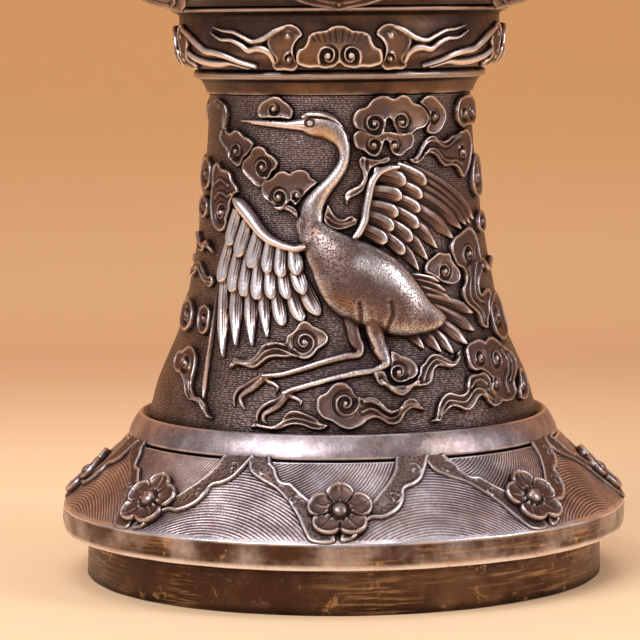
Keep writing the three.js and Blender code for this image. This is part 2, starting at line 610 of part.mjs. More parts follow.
// Leaves that rise from the foot of the neck and petals that lie on the shoulder, each cast with its shell.
// Their outlines are drawn as [millimetres across, millimetres up the surface].
const LEAF = [[8.6, 1.2], [8, 18], [4.4, 35], [0, 46], [-4.4, 35], [-8, 18], [-8.6, 1.2]];
const LEAF_BAR = 8; // depth of the bar that cuts a leaf
function leaf(angle) {
  const outline = LEAF.map(([across, up]) => new THREE.Vector2(across, up));
  return bar(outline, tangentPlane(angle, NECK_RADIUS, NECK_LEVEL), LEAF_BAR, LEAF_BAR)
    .intersect(skin(neckProfile, -WALL / 2, RELIEF));
}
const SHOULDER_PETAL = [[5.4, 9], [8, -1.2], [7, -5.5], [0, -9], [-7, -5.5], [-8, -1.2], [-5.4, 9]];
const PETAL_DEPTH = 1.8; // depth to which a petal's edge reaches into the shoulder
function shoulderPetal(angle) {
  const outline = SHOULDER_PETAL.map(([across, up]) => new THREE.Vector2(across, up));
  const [[low, foot], [high, head]] = [shoulderProfile[1], shoulderProfile[shoulderProfile.length - 2]];
  const lean = Math.atan2(low - high, head - foot);
  const plane = tangentPlane(angle, radiusOn(shoulderProfile, (foot + head) / 2), (foot + head) / 2, lean);
  return bar(outline, plane, PETAL_DEPTH, RELIEF);
}
const round = (count, turn, make) => (
  Array.from({ length: count }, (_, i) => make(turn * DEGREE + (2 * Math.PI * i) / count, i + 1))
);
const cup = join([cupShell, ...round(LAPPET_COUNT, 0, lappet)]);
const shoulder = join([shoulderShell, ...round(SHOULDER_PETAL_COUNT, 0, shoulderPetal)]);
const neck = join([neckShell, ...round(LEAF_COUNT, 0, leaf)]);

// The same solid again at another angle round the axis
function turnedTo(mesh, angle) {
  mesh.rotation.z = angle;
  return mesh;
}

const vase = new THREE.Group();
vase.add(
  piece('foot_ring', footRing, wornBronze),
  piece('floor_disc', floorDisc, darkBronze),
  piece('skirt', skirt, darkBronze),
  piece('waist_band', waistBand, rubbedBronze),
  piece('stem', stem, darkBronze),
  piece('stem_collar', stemCollar, darkBronze),
  piece('lower_knop', lowerKnop, darkBronze),
  piece('cup', cup, darkBronze),
  piece('body_drum', bodyDrum, darkBronze),
  piece('shoulder', shoulder, darkBronze),
  piece('neck_knop', neckKnop, darkBronze),
  piece('neck', neck, darkBronze),
  piece('lip', lip, wornBronze),
);
const plumBlossom = blossom();
vase.add(...round(BLOSSOM_COUNT, 0, (angle, i) => (
  turnedTo(piece(`plum_blossom_${i}`, plumBlossom, rubbedBronze), angle)
)));
vase.add(...round(KNOP_CLOUD_COUNT, 0, (angle, i) => (
  turnedTo(piece(`knop_cloud_${i}`, knopCloud, rubbedBronze), angle)
)));
const bird = crane();
vase.add(...round(CRANE_COUNT, 0, (angle, i) => turnedTo(piece(`crane_${i}`, bird, rubbedBronze), angle)));
for (const [name, cloud] of Object.entries(STEM_CLOUDS)) {
  const plate = stemRelief(cloudOutlines(cloud), RELIEF);
  vase.add(...round(CRANE_COUNT, 0, (angle, i) => (
    turnedTo(piece(`cloud_${name}_${i}`, plate, rubbedBronze), angle)
  )));
}

export default vase;
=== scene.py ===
import math

import bpy
import numpy as np
from mathutils import Matrix, Vector


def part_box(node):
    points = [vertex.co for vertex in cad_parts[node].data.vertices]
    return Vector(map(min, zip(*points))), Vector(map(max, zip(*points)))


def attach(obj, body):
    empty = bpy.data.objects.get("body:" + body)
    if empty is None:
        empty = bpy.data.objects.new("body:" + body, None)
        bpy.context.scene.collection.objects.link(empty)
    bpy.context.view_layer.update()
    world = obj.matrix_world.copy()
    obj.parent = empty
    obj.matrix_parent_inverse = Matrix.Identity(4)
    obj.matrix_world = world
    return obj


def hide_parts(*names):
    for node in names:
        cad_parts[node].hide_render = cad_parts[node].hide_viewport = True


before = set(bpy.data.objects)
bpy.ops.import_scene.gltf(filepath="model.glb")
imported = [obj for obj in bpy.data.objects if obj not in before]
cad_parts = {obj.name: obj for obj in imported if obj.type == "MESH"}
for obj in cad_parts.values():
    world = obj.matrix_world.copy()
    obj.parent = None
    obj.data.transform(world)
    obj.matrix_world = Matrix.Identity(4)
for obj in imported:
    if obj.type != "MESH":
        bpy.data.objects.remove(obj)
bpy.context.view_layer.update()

# Camera: a long lens, a little above the middle of the stem and tipped down. The vase stands a hair off upright
# in the picture, and its axis a little right of the middle.
LENS_PIXELS = 3100
PICTURE_PIXELS = 640
AXIS_PIXELS_RIGHT = 22
CAMERA_DISTANCE = 0.6586
CAMERA_HEIGHT = 0.1197
CAMERA_TIP = 5.75
CAMERA_ROLL = -0.55

camera = bpy.data.objects.new("camera", bpy.data.cameras.new("camera"))
bpy.context.scene.collection.objects.link(camera)
bpy.context.scene.camera = camera
camera.data.sensor_width = 36
camera.data.lens = camera.data.sensor_width * LENS_PIXELS / PICTURE_PIXELS
camera.matrix_world = (
    Matrix.Translation((0, -CAMERA_DISTANCE, CAMERA_HEIGHT))
    @ Matrix.Rotation(math.atan(AXIS_PIXELS_RIGHT / LENS_PIXELS), 4, "Z")
    @ Matrix.Rotation(math.radians(90 - CAMERA_TIP), 4, "X")
    @ Matrix.Rotation(math.radians(CAMERA_ROLL), 4, "Z")
)


# Floor and backdrop: one sheet of warm peach paper that lies under the vase and sweeps up behind it. It is lit
# by the same plain light as the vase.
class Socket:
    """A shader value with Python's arithmetic. Each operator adds one Math node."""

    def __init__(self, tree, link):
        self.tree, self.link = tree, link

    def maths(self, operation, *values, clamp=False):
        settings = {"operation": operation, "use_clamp": clamp}
        inputs = dict(enumerate(values))
        return self.tree.node("ShaderNodeMath", settings, inputs)

    def __add__(self, other):
        return self.maths("ADD", self, other)

    def __sub__(self, other):
        return self.maths("SUBTRACT", self, other)

    def __mul__(self, other):
        return self.maths("MULTIPLY", self, other)

    def __rsub__(self, other):
        return self.maths("SUBTRACT", other, self)

    def sin(self):
        return self.maths("SINE", self)

    def clamped(self):
        return self.maths("ADD", self, 0.0, clamp=True)

    def step(self, low, high):
        """0 below low, 1 above high and a smooth rise between them."""
        settings = {"interpolation_type": "SMOOTHSTEP"}
        return self.tree.node("ShaderNodeMapRange", settings, {0: self, 1: low, 2: high})


class Tree:
    """The nodes of one new material."""

    def __init__(self, name):
        self.material = bpy.data.materials.new(name)
        self.material.use_nodes = True
        self.nodes = self.material.node_tree.nodes
        self.nodes.clear()

    def node(self, kind, settings=None, inputs=None, output=0):
        """Adds a node, sets it, fills or links its sockets, and gives one output as a Socket."""
        made = self.nodes.new(kind)
        for name, value in (settings or {}).items():
            setattr(made, name, value)
        for place, value in (inputs or {}).items():
            if isinstance(value, Socket):
                self.material.node_tree.links.new(value.link, made.inputs[place])
            else:
                made.inputs[place].default_value = value
        return Socket(self, made.outputs[output]) if made.outputs else made

    def mix(self, amount, first, second):
        """Mix of two colours."""
        colours = {
            6: first if isinstance(first, Socket) else (*first, 1),
            7: second if isinstance(second, Socket) else (*second, 1),
        }
        return self.node("ShaderNodeMix", {"data_type": "RGBA"}, {0: amount, **colours}, output=2)

    def noise(self, place, scale, detail=3.0, roughness=0.5):
        inputs = {"Vector": place, "Scale": scale, "Detail": detail, "Roughness": roughness}
        return self.node("ShaderNodeTexNoise", None, inputs)

    def attribute(self, name):
        return self.node("ShaderNodeAttribute", {"attribute_name": name}, output=2)

    def place(self):
        """Object coordinates, in metres."""
        return self.node("ShaderNodeTexCoord", output=3)

    def parts(self):
        """Object coordinates x, y and z one by one."""
        split = self.node("ShaderNodeSeparateXYZ", None, {0: self.place()})
        return [Socket(self, part) for part in split.link.node.outputs]

    def punched(self, scale, size):
        """1 on round punch marks, scale of them to the metre, and 0 between them."""
        cells = self.node("ShaderNodeTexVoronoi", None, {"Vector": self.place(), "Scale": scale})
        return 1 - cells.step(size, 0.5)

    def end(self, shader):
        self.node("ShaderNodeOutputMaterial", None, {0: shader})
        return self.material


def new_piece(name, points, faces, layers=None):
    """A mesh object from an array of points in millimetres and an array of faces, with float attributes."""
    mesh = bpy.data.meshes.new(name)
    corners = faces.shape[1]
    mesh.vertices.add(len(points))
    mesh.vertices.foreach_set("co", (points * 0.001).astype(np.float32).ravel())
    mesh.loops.add(faces.size)
    mesh.loops.foreach_set("vertex_index", faces.astype(np.int32).ravel())
    mesh.polygons.add(len(faces))
    mesh.polygons.foreach_set("loop_start", np.arange(0, faces.size, corners, dtype=np.int32))
    mesh.polygons.foreach_set("use_smooth", np.ones(len(faces), dtype=bool))
    for layer, values in (layers or {}).items():
        attribute = mesh.attributes.new(layer, "FLOAT", "POINT")
        attribute.data.foreach_set("value", values.astype(np.float32).ravel())
    mesh.update(calc_edges=True)
    mesh.validate()
    piece = bpy.data.objects.new(name, mesh)
    bpy.context.scene.collection.objects.link(piece)
    return piece


def grid_faces(rows, columns, closed=False):
    """Quads of a grid of rows by columns of points, joined round from the last column to the first if closed."""
    row, column = np.meshgrid(
        np.arange(rows - 1), np.arange(columns if closed else columns - 1), indexing="ij"
    )
    after = (column + 1) % columns
    return np.stack(
        [
            row * columns + column,
            row * columns + after,
            (row + 1) * columns + after,
            (row + 1) * columns + column,
        ],
        -1,
    ).reshape(-1, 4)


# Paper colours. The far floor and the wall are darker and deeper orange than the near floor, which is painted shade
# for the light falling off away from the lamps.
BACKDROP_TOP = (0.57, 0.25, 0.08)
BACKDROP_FOOT = (0.53, 0.272, 0.105)
FLOOR_FAR = (0.635, 0.37, 0.185)
FLOOR_NEAR = (0.99, 0.72, 0.45)


def sweep(width=3000, near=-1400, far=420, bend=260, height=1500, count=40):
    """A sheet that runs level from near to far, then up a quarter circle of radius bend, then straight up."""
    turn = np.linspace(0, np.pi / 2, count)
    run = np.concatenate([[near], far + bend * np.sin(turn), [far + bend]])
    rise = np.concatenate([[0], bend * (1 - np.cos(turn)), [height]])
    across = np.array([-width / 2, width / 2])
    x, y = np.meshgrid(across, run)
    _, z = np.meshgrid(across, rise)
    return np.stack([x, y, z], -1).reshape(-1, 3), grid_faces(len(run), 2)


def paper():
    """Peach paper: a pale floor that darkens to orange up the backdrop, as painted shade for the light falling off.
    Its back is clear, so that the vase can be looked at from behind it."""
    tree = Tree("peach_paper")
    _, depth, level = tree.parts()
    ground = tree.mix(depth.step(0.0, 0.42), FLOOR_NEAR, FLOOR_FAR)
    wall = tree.mix(level.step(0.05, 0.6), BACKDROP_FOOT, BACKDROP_TOP)
    colour = tree.mix(level.step(0.0, 0.09), ground, wall)
    lit = tree.node("ShaderNodeBsdfPrincipled", None, {"Base Color": colour, "Roughness": 0.9})
    behind = tree.node("ShaderNodeNewGeometry", output=6)
    clear = tree.node("ShaderNodeBsdfTransparent")
    return tree.end(tree.node("ShaderNodeMixShader", None, {0: behind, 1: lit, 2: clear}))


backdrop = new_piece("backdrop", *sweep())
backdrop.data.materials.append(paper())


# Light: a large soft box at the upper left, a tall one at the right, one overhead and a dim room, which the
# camera sees as peach past the edges of the paper.
def soft_box(name, place, target, size, power, colour):
    """A rectangular lamp that faces its target."""
    lamp = bpy.data.lights.new(name, "AREA")
    lamp.shape = "RECTANGLE"
    lamp.size, lamp.size_y = size
    lamp.energy = power
    lamp.color = colour
    holder = bpy.data.objects.new(name, lamp)
    bpy.context.scene.collection.objects.link(holder)
    holder.location = place
    holder.rotation_mode = "QUATERNION"
    holder.rotation_quaternion = (Vector(target) - Vector(place)).to_track_quat("-Z", "Y")


soft_box("key_light", (-0.7, -0.86, 1.0), (0, 0, 0.08), (1.1, 0.6), 13.5, (1, 0.985, 0.99))
soft_box("fill_light", (1.0, -0.42, 0.62), (0, 0, 0.08), (0.35, 0.8), 5, (1, 0.985, 1))
soft_box("top_light", (0.0, 0.1, 1.3), (0, 0, 0.1), (0.9, 0.9), 6, (1, 0.98, 0.97))
world = bpy.data.worlds.new("room")
bpy.context.scene.world = world
world.use_nodes = True
nodes, links = world.node_tree.nodes, world.node_tree.links
seen = nodes.new("ShaderNodeLightPath").outputs["Is Camera Ray"]
room = nodes.new("ShaderNodeMix")
room.data_type = "RGBA"
ROOM_LIGHT = (0.372, 0.361, 0.38, 1)
ROOM_SEEN = (0.69, 0.36, 0.165, 1)
room.inputs[6].default_value, room.inputs[7].default_value = ROOM_LIGHT, ROOM_SEEN
links.new(seen, room.inputs[0])
links.new(room.outputs[2], nodes["Background"].inputs["Color"])
nodes["Background"].inputs["Strength"].default_value = 1.0
bpy.context.scene.view_settings.view_transform = "Standard"


# Foot ring and floor disc: cast bronze, turned true, with a ledge inside that the disc is soldered to. The ring
# has worn to a streaky golden brown.
FACETS_ROUND = 288
WALL = 3.0
LEVEL = {node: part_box(node)[0].z * 1000 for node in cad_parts}


def rounded(profile, radius=0.35, count=4):
    """Profile with each sharp corner replaced by a short parabola that starts and ends radius away from it."""
    points = np.array(profile, float)
    result = []
    for before, corner, after in zip(np.roll(points, 1, 0), points, np.roll(points, -1, 0)):
        arm, leg = before - corner, after - corner
        arm_length, leg_length = np.hypot(*arm), np.hypot(*leg)
        bend = arm @ leg / (arm_length * leg_length)
        if bend < -0.97:
            result.append(corner[None])
            continue
        start = corner + arm * min(radius / arm_length, 0.45)
        end = corner + leg * min(radius / leg_length, 0.45)
        t = np.linspace(0, 1, count)[:, None]
        result.append((1 - t) ** 2 * start + 2 * t * (1 - t) * corner + t**2 * end)
    return np.concatenate(result)


def turned(name, outer, inner, radius=0.35, wobble=0.0, columns=FACETS_ROUND):
    """A turned shell. Its profile runs up the outer points [radius, height] and down the inner ones, and is
    carried round the axis. Attribute edge is the profile's bend: 1 on a sharp ridge, -1 in a sharp groove.
    Wobble is the depth in millimetres of the dents that handling leaves."""
    profile = rounded([*outer, *inner], radius)
    ahead = np.roll(profile, -1, 0) - profile
    behind = np.roll(ahead, 1, 0)
    cross = behind[:, 0] * ahead[:, 1] - behind[:, 1] * ahead[:, 0]
    span = (np.hypot(*ahead.T) + np.hypot(*behind.T)) / 2
    turn = np.arctan2(cross, (ahead * behind).sum(1))
    edge = np.clip(turn / np.maximum(span, 0.15) * 0.8, -1, 1)
    angle = np.linspace(0, 2 * np.pi, columns, endpoint=False)
    angles, radii = np.meshgrid(angle, profile[:, 0])
    _, heights = np.meshgrid(angle, profile[:, 1])
    dents = np.sin(7 * angles + heights) + np.sin(13 * angles + 2 - heights) + np.sin(29 * angles + heights * 2)
    handled = np.arange(len(profile))[:, None] < len(profile) * len(outer) / (len(outer) + len(inner))
    radii = radii + wobble * dents * handled / 3
    points = np.stack([radii * np.sin(angles), -radii * np.cos(angles), heights], -1)
    rows = np.concatenate([points, points[:1]])
    faces = grid_faces(len(rows), columns, closed=True) % (len(profile) * columns)
    layers = {"edge": np.broadcast_to(edge[:, None], angles.shape)}
    return new_piece(name, points.reshape(-1, 3), faces, layers)


GOLDEN = (0.27, 0.145, 0.075)
STREAK_GOLD = (0.66, 0.40, 0.20)
STAIN = (0.075, 0.037, 0.024)
# Near-black brown that closed-in places take on, as painted shade and grime, and how far the occlusion node looks for
# nearby metal.
SHADE_AND_GRIME = (0.018, 0.011, 0.009)
SHADE_AND_GRIME_REACH = 0.0022
BUMP_DEPTH = 0.00012


def bronze(
    name, colours, roughness, rub=(0.6, 0.42), wear_and_highlight_rub=None, comb=None, grain=1.0, pits=None, streak=None,
    golden=0.55, stain=None,
):
    """Patinated bronze. Colours run from the recess over the flat to the rubbed ridge. How rubbed a place is, from
    0 to 1, is the first of rub times its edge plus the second, and more where the wear and highlight function of
    the tree says so, which on the crane carries painted highlight as well as wear. Comb is such a function too and
    gives chased lines a height from 0 to 1, and pits, streak and stain are likewise. Golden is how far patches of
    the flat turn to golden brown, and stain is where the metal has gone dark. Places that an occlusion node finds
    closed in are darkened as painted shade and grime."""
    tree = Tree(name)
    place = tree.place()
    cloudy = tree.noise(place, 120, 4, 0.6)
    fine = tree.noise(place, 1400, 3, 0.6)
    rubbed = tree.attribute("edge") * rub[0] + rub[1]
    if wear_and_highlight_rub:
        rubbed = rubbed + wear_and_highlight_rub(tree)
    # Partly painted shade: the occlusion node also takes rub away in closed-in places, which darkens them.
    shade = tree.node("ShaderNodeAmbientOcclusion", {"samples": 6}, {"Distance": SHADE_AND_GRIME_REACH}, output=1)
    rubbed = rubbed + (cloudy - 0.5) * 0.5 + (fine - 0.5) * 0.25 + (shade - 0.85) * 0.7
    relief = fine * 0.25 * grain
    if comb:
        lines = comb(tree)
        rubbed = rubbed + (lines - 0.6) * 0.5
        relief = relief + lines
    rubbed = rubbed.clamped()
    recess, flat, ridge = colours
    patches = tree.noise(place, 55, 4, 0.62).step(0.46, 0.66)
    flat = tree.mix(patches * golden, flat, GOLDEN)
    colour = tree.mix(rubbed.step(0.08, 0.5), recess, flat)
    colour = tree.mix(rubbed.step(0.5, 0.95), colour, ridge)
    if stain:
        colour = tree.mix(stain(tree), colour, STAIN)
    if streak:
        colour = tree.mix(streak(tree), colour, STREAK_GOLD)
    if pits:
        marks = pits(tree)
        colour = tree.mix(marks * 0.7, colour, recess)
        relief = relief - marks * 0.6
    # Painted shade and grime: places that the occlusion node finds closed in, such as recesses and joints between
    # pieces, go towards a near-black brown.
    colour = tree.mix((1 - shade.step(0.3, 0.9)) * 0.85, colour, SHADE_AND_GRIME)
    dull, bright = roughness
    gloss = (rubbed * (bright - dull) + dull + (fine - 0.5) * 0.12).clamped()
    bump = tree.node("ShaderNodeBump", None, {"Strength": 1.0, "Distance": BUMP_DEPTH, "Height": relief})
    metal = {"Base Color": colour, "Metallic": 0.92, "Roughness": gloss, "Normal": bump}
    return tree.end(tree.node("ShaderNodeBsdfPrincipled", None, metal))


def dress(piece, material, node):
    """Puts a finished piece on the vase: its material, the record's slot and the solid that it stands for."""
    piece.data.materials.append(material)
    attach(piece, "root")
    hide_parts(node)


def level_streaks(tree):
    """Golden scrapes that run round the foot, from noise stretched along the turn, and a few bare chips."""
    stretched = tree.node("ShaderNodeMapping", None, {0: tree.place(), 3: (70, 70, 1500)})
    long_noise = tree.noise(stretched, 1.0, 5, 0.7)
    patches = tree.noise(tree.place(), 38, 3, 0.5)
    chips = tree.noise(tree.place(), 260, 4, 0.7).step(0.6, 0.7)
    return (long_noise.step(0.5, 0.62) * patches.step(0.42, 0.6) * 0.42 + chips * 0.5).clamped()


worn_bronze = bronze(
    "worn_bronze",
    [(0.014, 0.006, 0.003), (0.075, 0.035, 0.021), (0.86, 0.66, 0.53)],
    (0.5, 0.28),
    rub=(0.6, 0.36),
    streak=level_streaks,
    grain=1.8,
    golden=0.35,
)
dark_bronze = bronze(
    "dark_bronze",
    [(0.03, 0.019, 0.018), (0.13, 0.088, 0.085), (0.60, 0.53, 0.54)],
    (0.5, 0.3),
)

FOOT_RADIUS = 54.9
FOOT_INNER = 51.7
FLOOR_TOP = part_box("floor_disc")[1].z * 1000
foot_ring = turned(
    "foot_ring",
    [[FOOT_RADIUS, 0], [FOOT_RADIUS - 0.1, 5], [FOOT_RADIUS - 0.3, LEVEL["skirt"]], [53.3, LEVEL["skirt"]]],
    [[53.3, 12.8], [FOOT_INNER, 12.8], [FOOT_INNER, LEVEL["floor_disc"]], [FOOT_INNER - WALL, 6.2], [FOOT_INNER, 0]],
    wobble=0.14,
)
dress(foot_ring, worn_bronze, "foot_ring")
floor_disc = turned(
    "floor_disc",
    [[0.01, LEVEL["floor_disc"]], [FOOT_INNER - 0.3, LEVEL["floor_disc"]], [FOOT_INNER - 0.3, FLOOR_TOP]],
    [[0.01, FLOOR_TOP]],
)
dress(floor_disc, dark_bronze, "floor_disc")


# Skirt: the heavy worn flange and the hollowed slope, chased with combed arcs in panels between the bands.
def smooth(at, stations):
    """Cubic curve through stations [x, y], with each station's slope taken from its neighbours."""
    x, y = np.array(stations, float).T
    slope = np.gradient(y, x)
    i = np.clip(np.searchsorted(x, at) - 1, 0, len(x) - 2)
    step = x[i + 1] - x[i]
    t = np.clip((at - x[i]) / step, 0, 1)
    ease = t * t * (3 - 2 * t)
    bulge = t * (1 - t) * step * ((1 - t) * slope[i] - t * slope[i + 1])
    return y[i] * (1 - ease) + y[i + 1] * ease + bulge


SKIRT_STATIONS = [[15.2, 60.0], [16, 59.3], [20, 55.0], [23.8, 51.2], [26.3, 48.8], [28.8, 46.6], [30.2, 45.3]]
BLOSSOM_COUNT = 8
BLOSSOM_TURN = -1.3


def skirt_radius(height):
    return smooth(height, SKIRT_STATIONS)


def outside(radius_at, low, high, count):
    """Evenly spaced profile points [radius, height] of a surface."""
    height = np.linspace(low, high, count)
    return np.stack([radius_at(height), height], -1).tolist()


SLOPE_STRETCH = 1.41
COMB_RADIUS, COMB_LEVEL = 52, 21.5
HIGH_CENTRE, HIGH_PITCH = (-19, 24), 0.64
LOW_CENTRE, LOW_PITCH = (-3, -20), 0.68
BAND_RISE, BAND_DROP = 0.85, 6


def skirt_comb(angle, height):
    """Phase of the combed lines in turns. Above the bands they are arcs about a point at the upper left of each
    blossom, and below them arcs about a point under the middle of the panel."""
    unit = 2 * np.pi / BLOSSOM_COUNT
    turned_by = angle - math.radians(BLOSSOM_TURN)
    across = ((turned_by + unit / 2) % unit - unit / 2) * COMB_RADIUS
    from_panel = (turned_by % unit - unit / 2) * COMB_RADIUS
    up = (height - COMB_LEVEL) * SLOPE_STRETCH
    high = np.hypot(across - HIGH_CENTRE[0], up - HIGH_CENTRE[1]) / HIGH_PITCH
    low = np.hypot(from_panel - LOW_CENTRE[0], up - LOW_CENTRE[1]) / LOW_PITCH
    return np.where(up > np.abs(across) * BAND_RISE - BAND_DROP, high, low)


GROOVE_LEVEL = 29.3
skirt_outer = [
    [54.6, LEVEL["skirt"]],
    [59.7, LEVEL["skirt"]],
    [60.0, 12.4],
    *outside(skirt_radius, 15.1, GROOVE_LEVEL, 96),
    [44.6, GROOVE_LEVEL + 0.1],
    [44.6, LEVEL["waist_band"]],
]
SKIRT_SPIGOT = 38.2
skirt = turned(
    "skirt",
    skirt_outer,
    [[SKIRT_SPIGOT, 30], [SKIRT_SPIGOT, 37], [36.6, 37], [36.6, 27], [49.8, 20.4], [53.6, 13.1], [53.6, 9.8]],
    radius=0.45,
    wobble=0.16,
    columns=448,
)
corner = np.empty(len(skirt.data.vertices) * 3)
skirt.data.vertices.foreach_get("co", corner)
corner = corner.reshape(-1, 3) * 1000
phase = skirt.data.attributes.new("comb", "FLOAT", "POINT")
phase.data.foreach_set("value", skirt_comb(np.arctan2(corner[:, 0], -corner[:, 1]), corner[:, 2]))


def skirt_lines(tree):
    """Chased arcs from the comb attribute, only on the slope, shallower where the metal is worn."""
    level = tree.parts()[2]
    wave = (tree.attribute("comb") * math.tau).sin() * 0.5 + 0.5
    slope = level.step(0.0157, 0.0161) * (1 - level.step(0.029, 0.0293))
    left = 1 - tree.noise(tree.place(), 45, 4, 0.6).step(0.42, 0.6) * 0.6
    return (wave - 1) * slope * left + 1


def flange_streaks(tree):
    """The scrapes of the foot, only on the flange's upright face."""
    return level_streaks(tree) * (1 - tree.parts()[2].step(0.0148, 0.0156))


def flange_stain(tree):
    """Dark uneven patches on the flange's upright face, which leave its worn lower edge bright."""
    level = tree.parts()[2]
    face = level.step(0.0102, 0.0112) * (1 - level.step(0.0146, 0.0154))
    return face * (tree.noise(tree.place(), 90, 4, 0.6).step(0.3, 0.62) * 0.5 + 0.5)


skirt_bronze = bronze(
    "skirt_bronze",
    [(0.045, 0.028, 0.028), (0.22, 0.16, 0.172), (0.94, 0.86, 0.90)],
    (0.46, 0.27),
    rub=(0.6, 0.45),
    comb=skirt_lines,
    streak=flange_streaks,
    golden=0.45,
    stain=flange_stain,
)
dress(skirt, skirt_bronze, "skirt")


# Waist band: a smooth crowned ring, rubbed bright where hands hold the vase.
band_bronze = bronze(
    "band_bronze",
    [(0.05, 0.034, 0.034), (0.28, 0.218, 0.24), (0.64, 0.57, 0.61)],
    (0.5, 0.3),
    rub=(0.35, 0.2),
    wear_and_highlight_rub=lambda tree: tree.noise(tree.place(), 210, 5, 0.7) * 0.7,
    grain=1.3,
    golden=0.5,
    streak=lambda tree: level_streaks(tree) * 0.25,
    stain=lambda tree: tree.noise(tree.place(), 60, 6, 0.72).step(0.5, 0.62) * 0.5,
)
waist_band = turned(
    "waist_band",
    [[44.8, 29.5], [45.5, 29.6], [45.75, 30.1], [45.3, 31.4], [44.4, 33.1], [43.4, 34.4], [43.0, 34.6],
     [42.5, 34.3], [41.7, 33.9]],
    [[38.5, 33.9], [38.5, 29.5]],
    radius=0.25,
    wobble=0.06,
)
dress(waist_band, band_bronze, "waist_band")


# Stem: the tall waisted tube. Its ground is chased with short level stitches that make the relief stand out.
STEM_STATIONS = [
    [33, 41.9], [34, 41.5], [41.6, 39.2], [46.7, 37], [51.8, 34.8], [56.9, 33.2], [62.1, 32.2], [67.2, 31.2],
    [72.3, 30.4], [77.4, 29.6], [82.5, 29], [87.6, 28.5], [92.7, 28.1], [97.8, 27.8], [103, 27.6],
]


def stem_radius(height):
    return smooth(height, STEM_STATIONS)


def stem_wall(up):
    """Radius and height of the stem's wall where its chart's second number is up, the height itself."""
    return stem_radius(up), up


STITCH_ACROSS = 0.9
STITCH_UP = 0.44
STITCH_RADIUS = 31


def stem_lines(tree):
    """Short stitches in level rows: a wave up the stem, broken by cells that are laid out round it."""
    x, y, level = tree.parts()
    turn = x.maths("ARCTAN2", x, y * -1.0)
    bend = (tree.noise(tree.place(), 90, 2) - 0.5) * 2.6
    row = level * (1000 / STITCH_UP) + bend
    at = tree.node("ShaderNodeCombineXYZ", None, {0: turn * (STITCH_RADIUS / STITCH_ACROSS) + bend, 1: row})
    cells = tree.node(
        "ShaderNodeTexVoronoi", {"voronoi_dimensions": "2D"}, {"Vector": at, "Scale": 1.0, "Randomness": 0.8}
    )
    rows = (row * math.tau).sin() * 0.5 + 0.5
    return rows * 0.5 + (1 - cells.step(0.1, 0.6)) * 0.5


ground_bronze = bronze(
    "ground_bronze",
    [(0.026, 0.016, 0.015), (0.12, 0.083, 0.082), (0.48, 0.42, 0.43)],
    (0.48, 0.34),
    rub=(0.4, 0.46),
    comb=stem_lines,
    golden=0.15,
)
stem = turned(
    "stem",
    outside(stem_radius, LEVEL["stem"], LEVEL["stem_collar"], 60),
    [[24.9, 102], [24.9, 110.4], [23.3, 110.4], [23.3, 99],
     *outside(lambda height: stem_radius(height) - WALL, 39, 96, 24)[::-1], [38.5, 37.3], [38.5, 34]],
    radius=0.25,
)
dress(stem, ground_bronze, "stem")


# Crane: a separate plate, cast thick, chased and soldered on. It strides to the left with its neck held high, the
# near wing spread in front of it and the far wing behind. The same bird is on the rear.
CHART_LIFT = 0.8
BURIED = -0.7
EDGE_REACH, EDGE_RISE = 0.7, 0.4


def curve(path, spacing, closed=False):
    """Points spaced along a smooth curve through the rows of path. Columns after the first two follow it."""
    path = np.array(path, float)
    if closed:
        path = np.concatenate([path[-3:], path, path[:4]])
    span = np.concatenate([[0], np.cumsum(np.hypot(*np.diff(path[:, :2], axis=0).T))])
    start, end = (span[3], span[-4]) if closed else (0, span[-1])
    at = np.linspace(start, end, max(int((end - start) / spacing), 2) + 1)
    return np.stack([smooth(at, np.stack([span, column], -1)) for column in path.T], -1)


def bell(distance, width):
    """1 at no distance, falling off like a bell."""
    return np.exp(-((distance / width) ** 2))


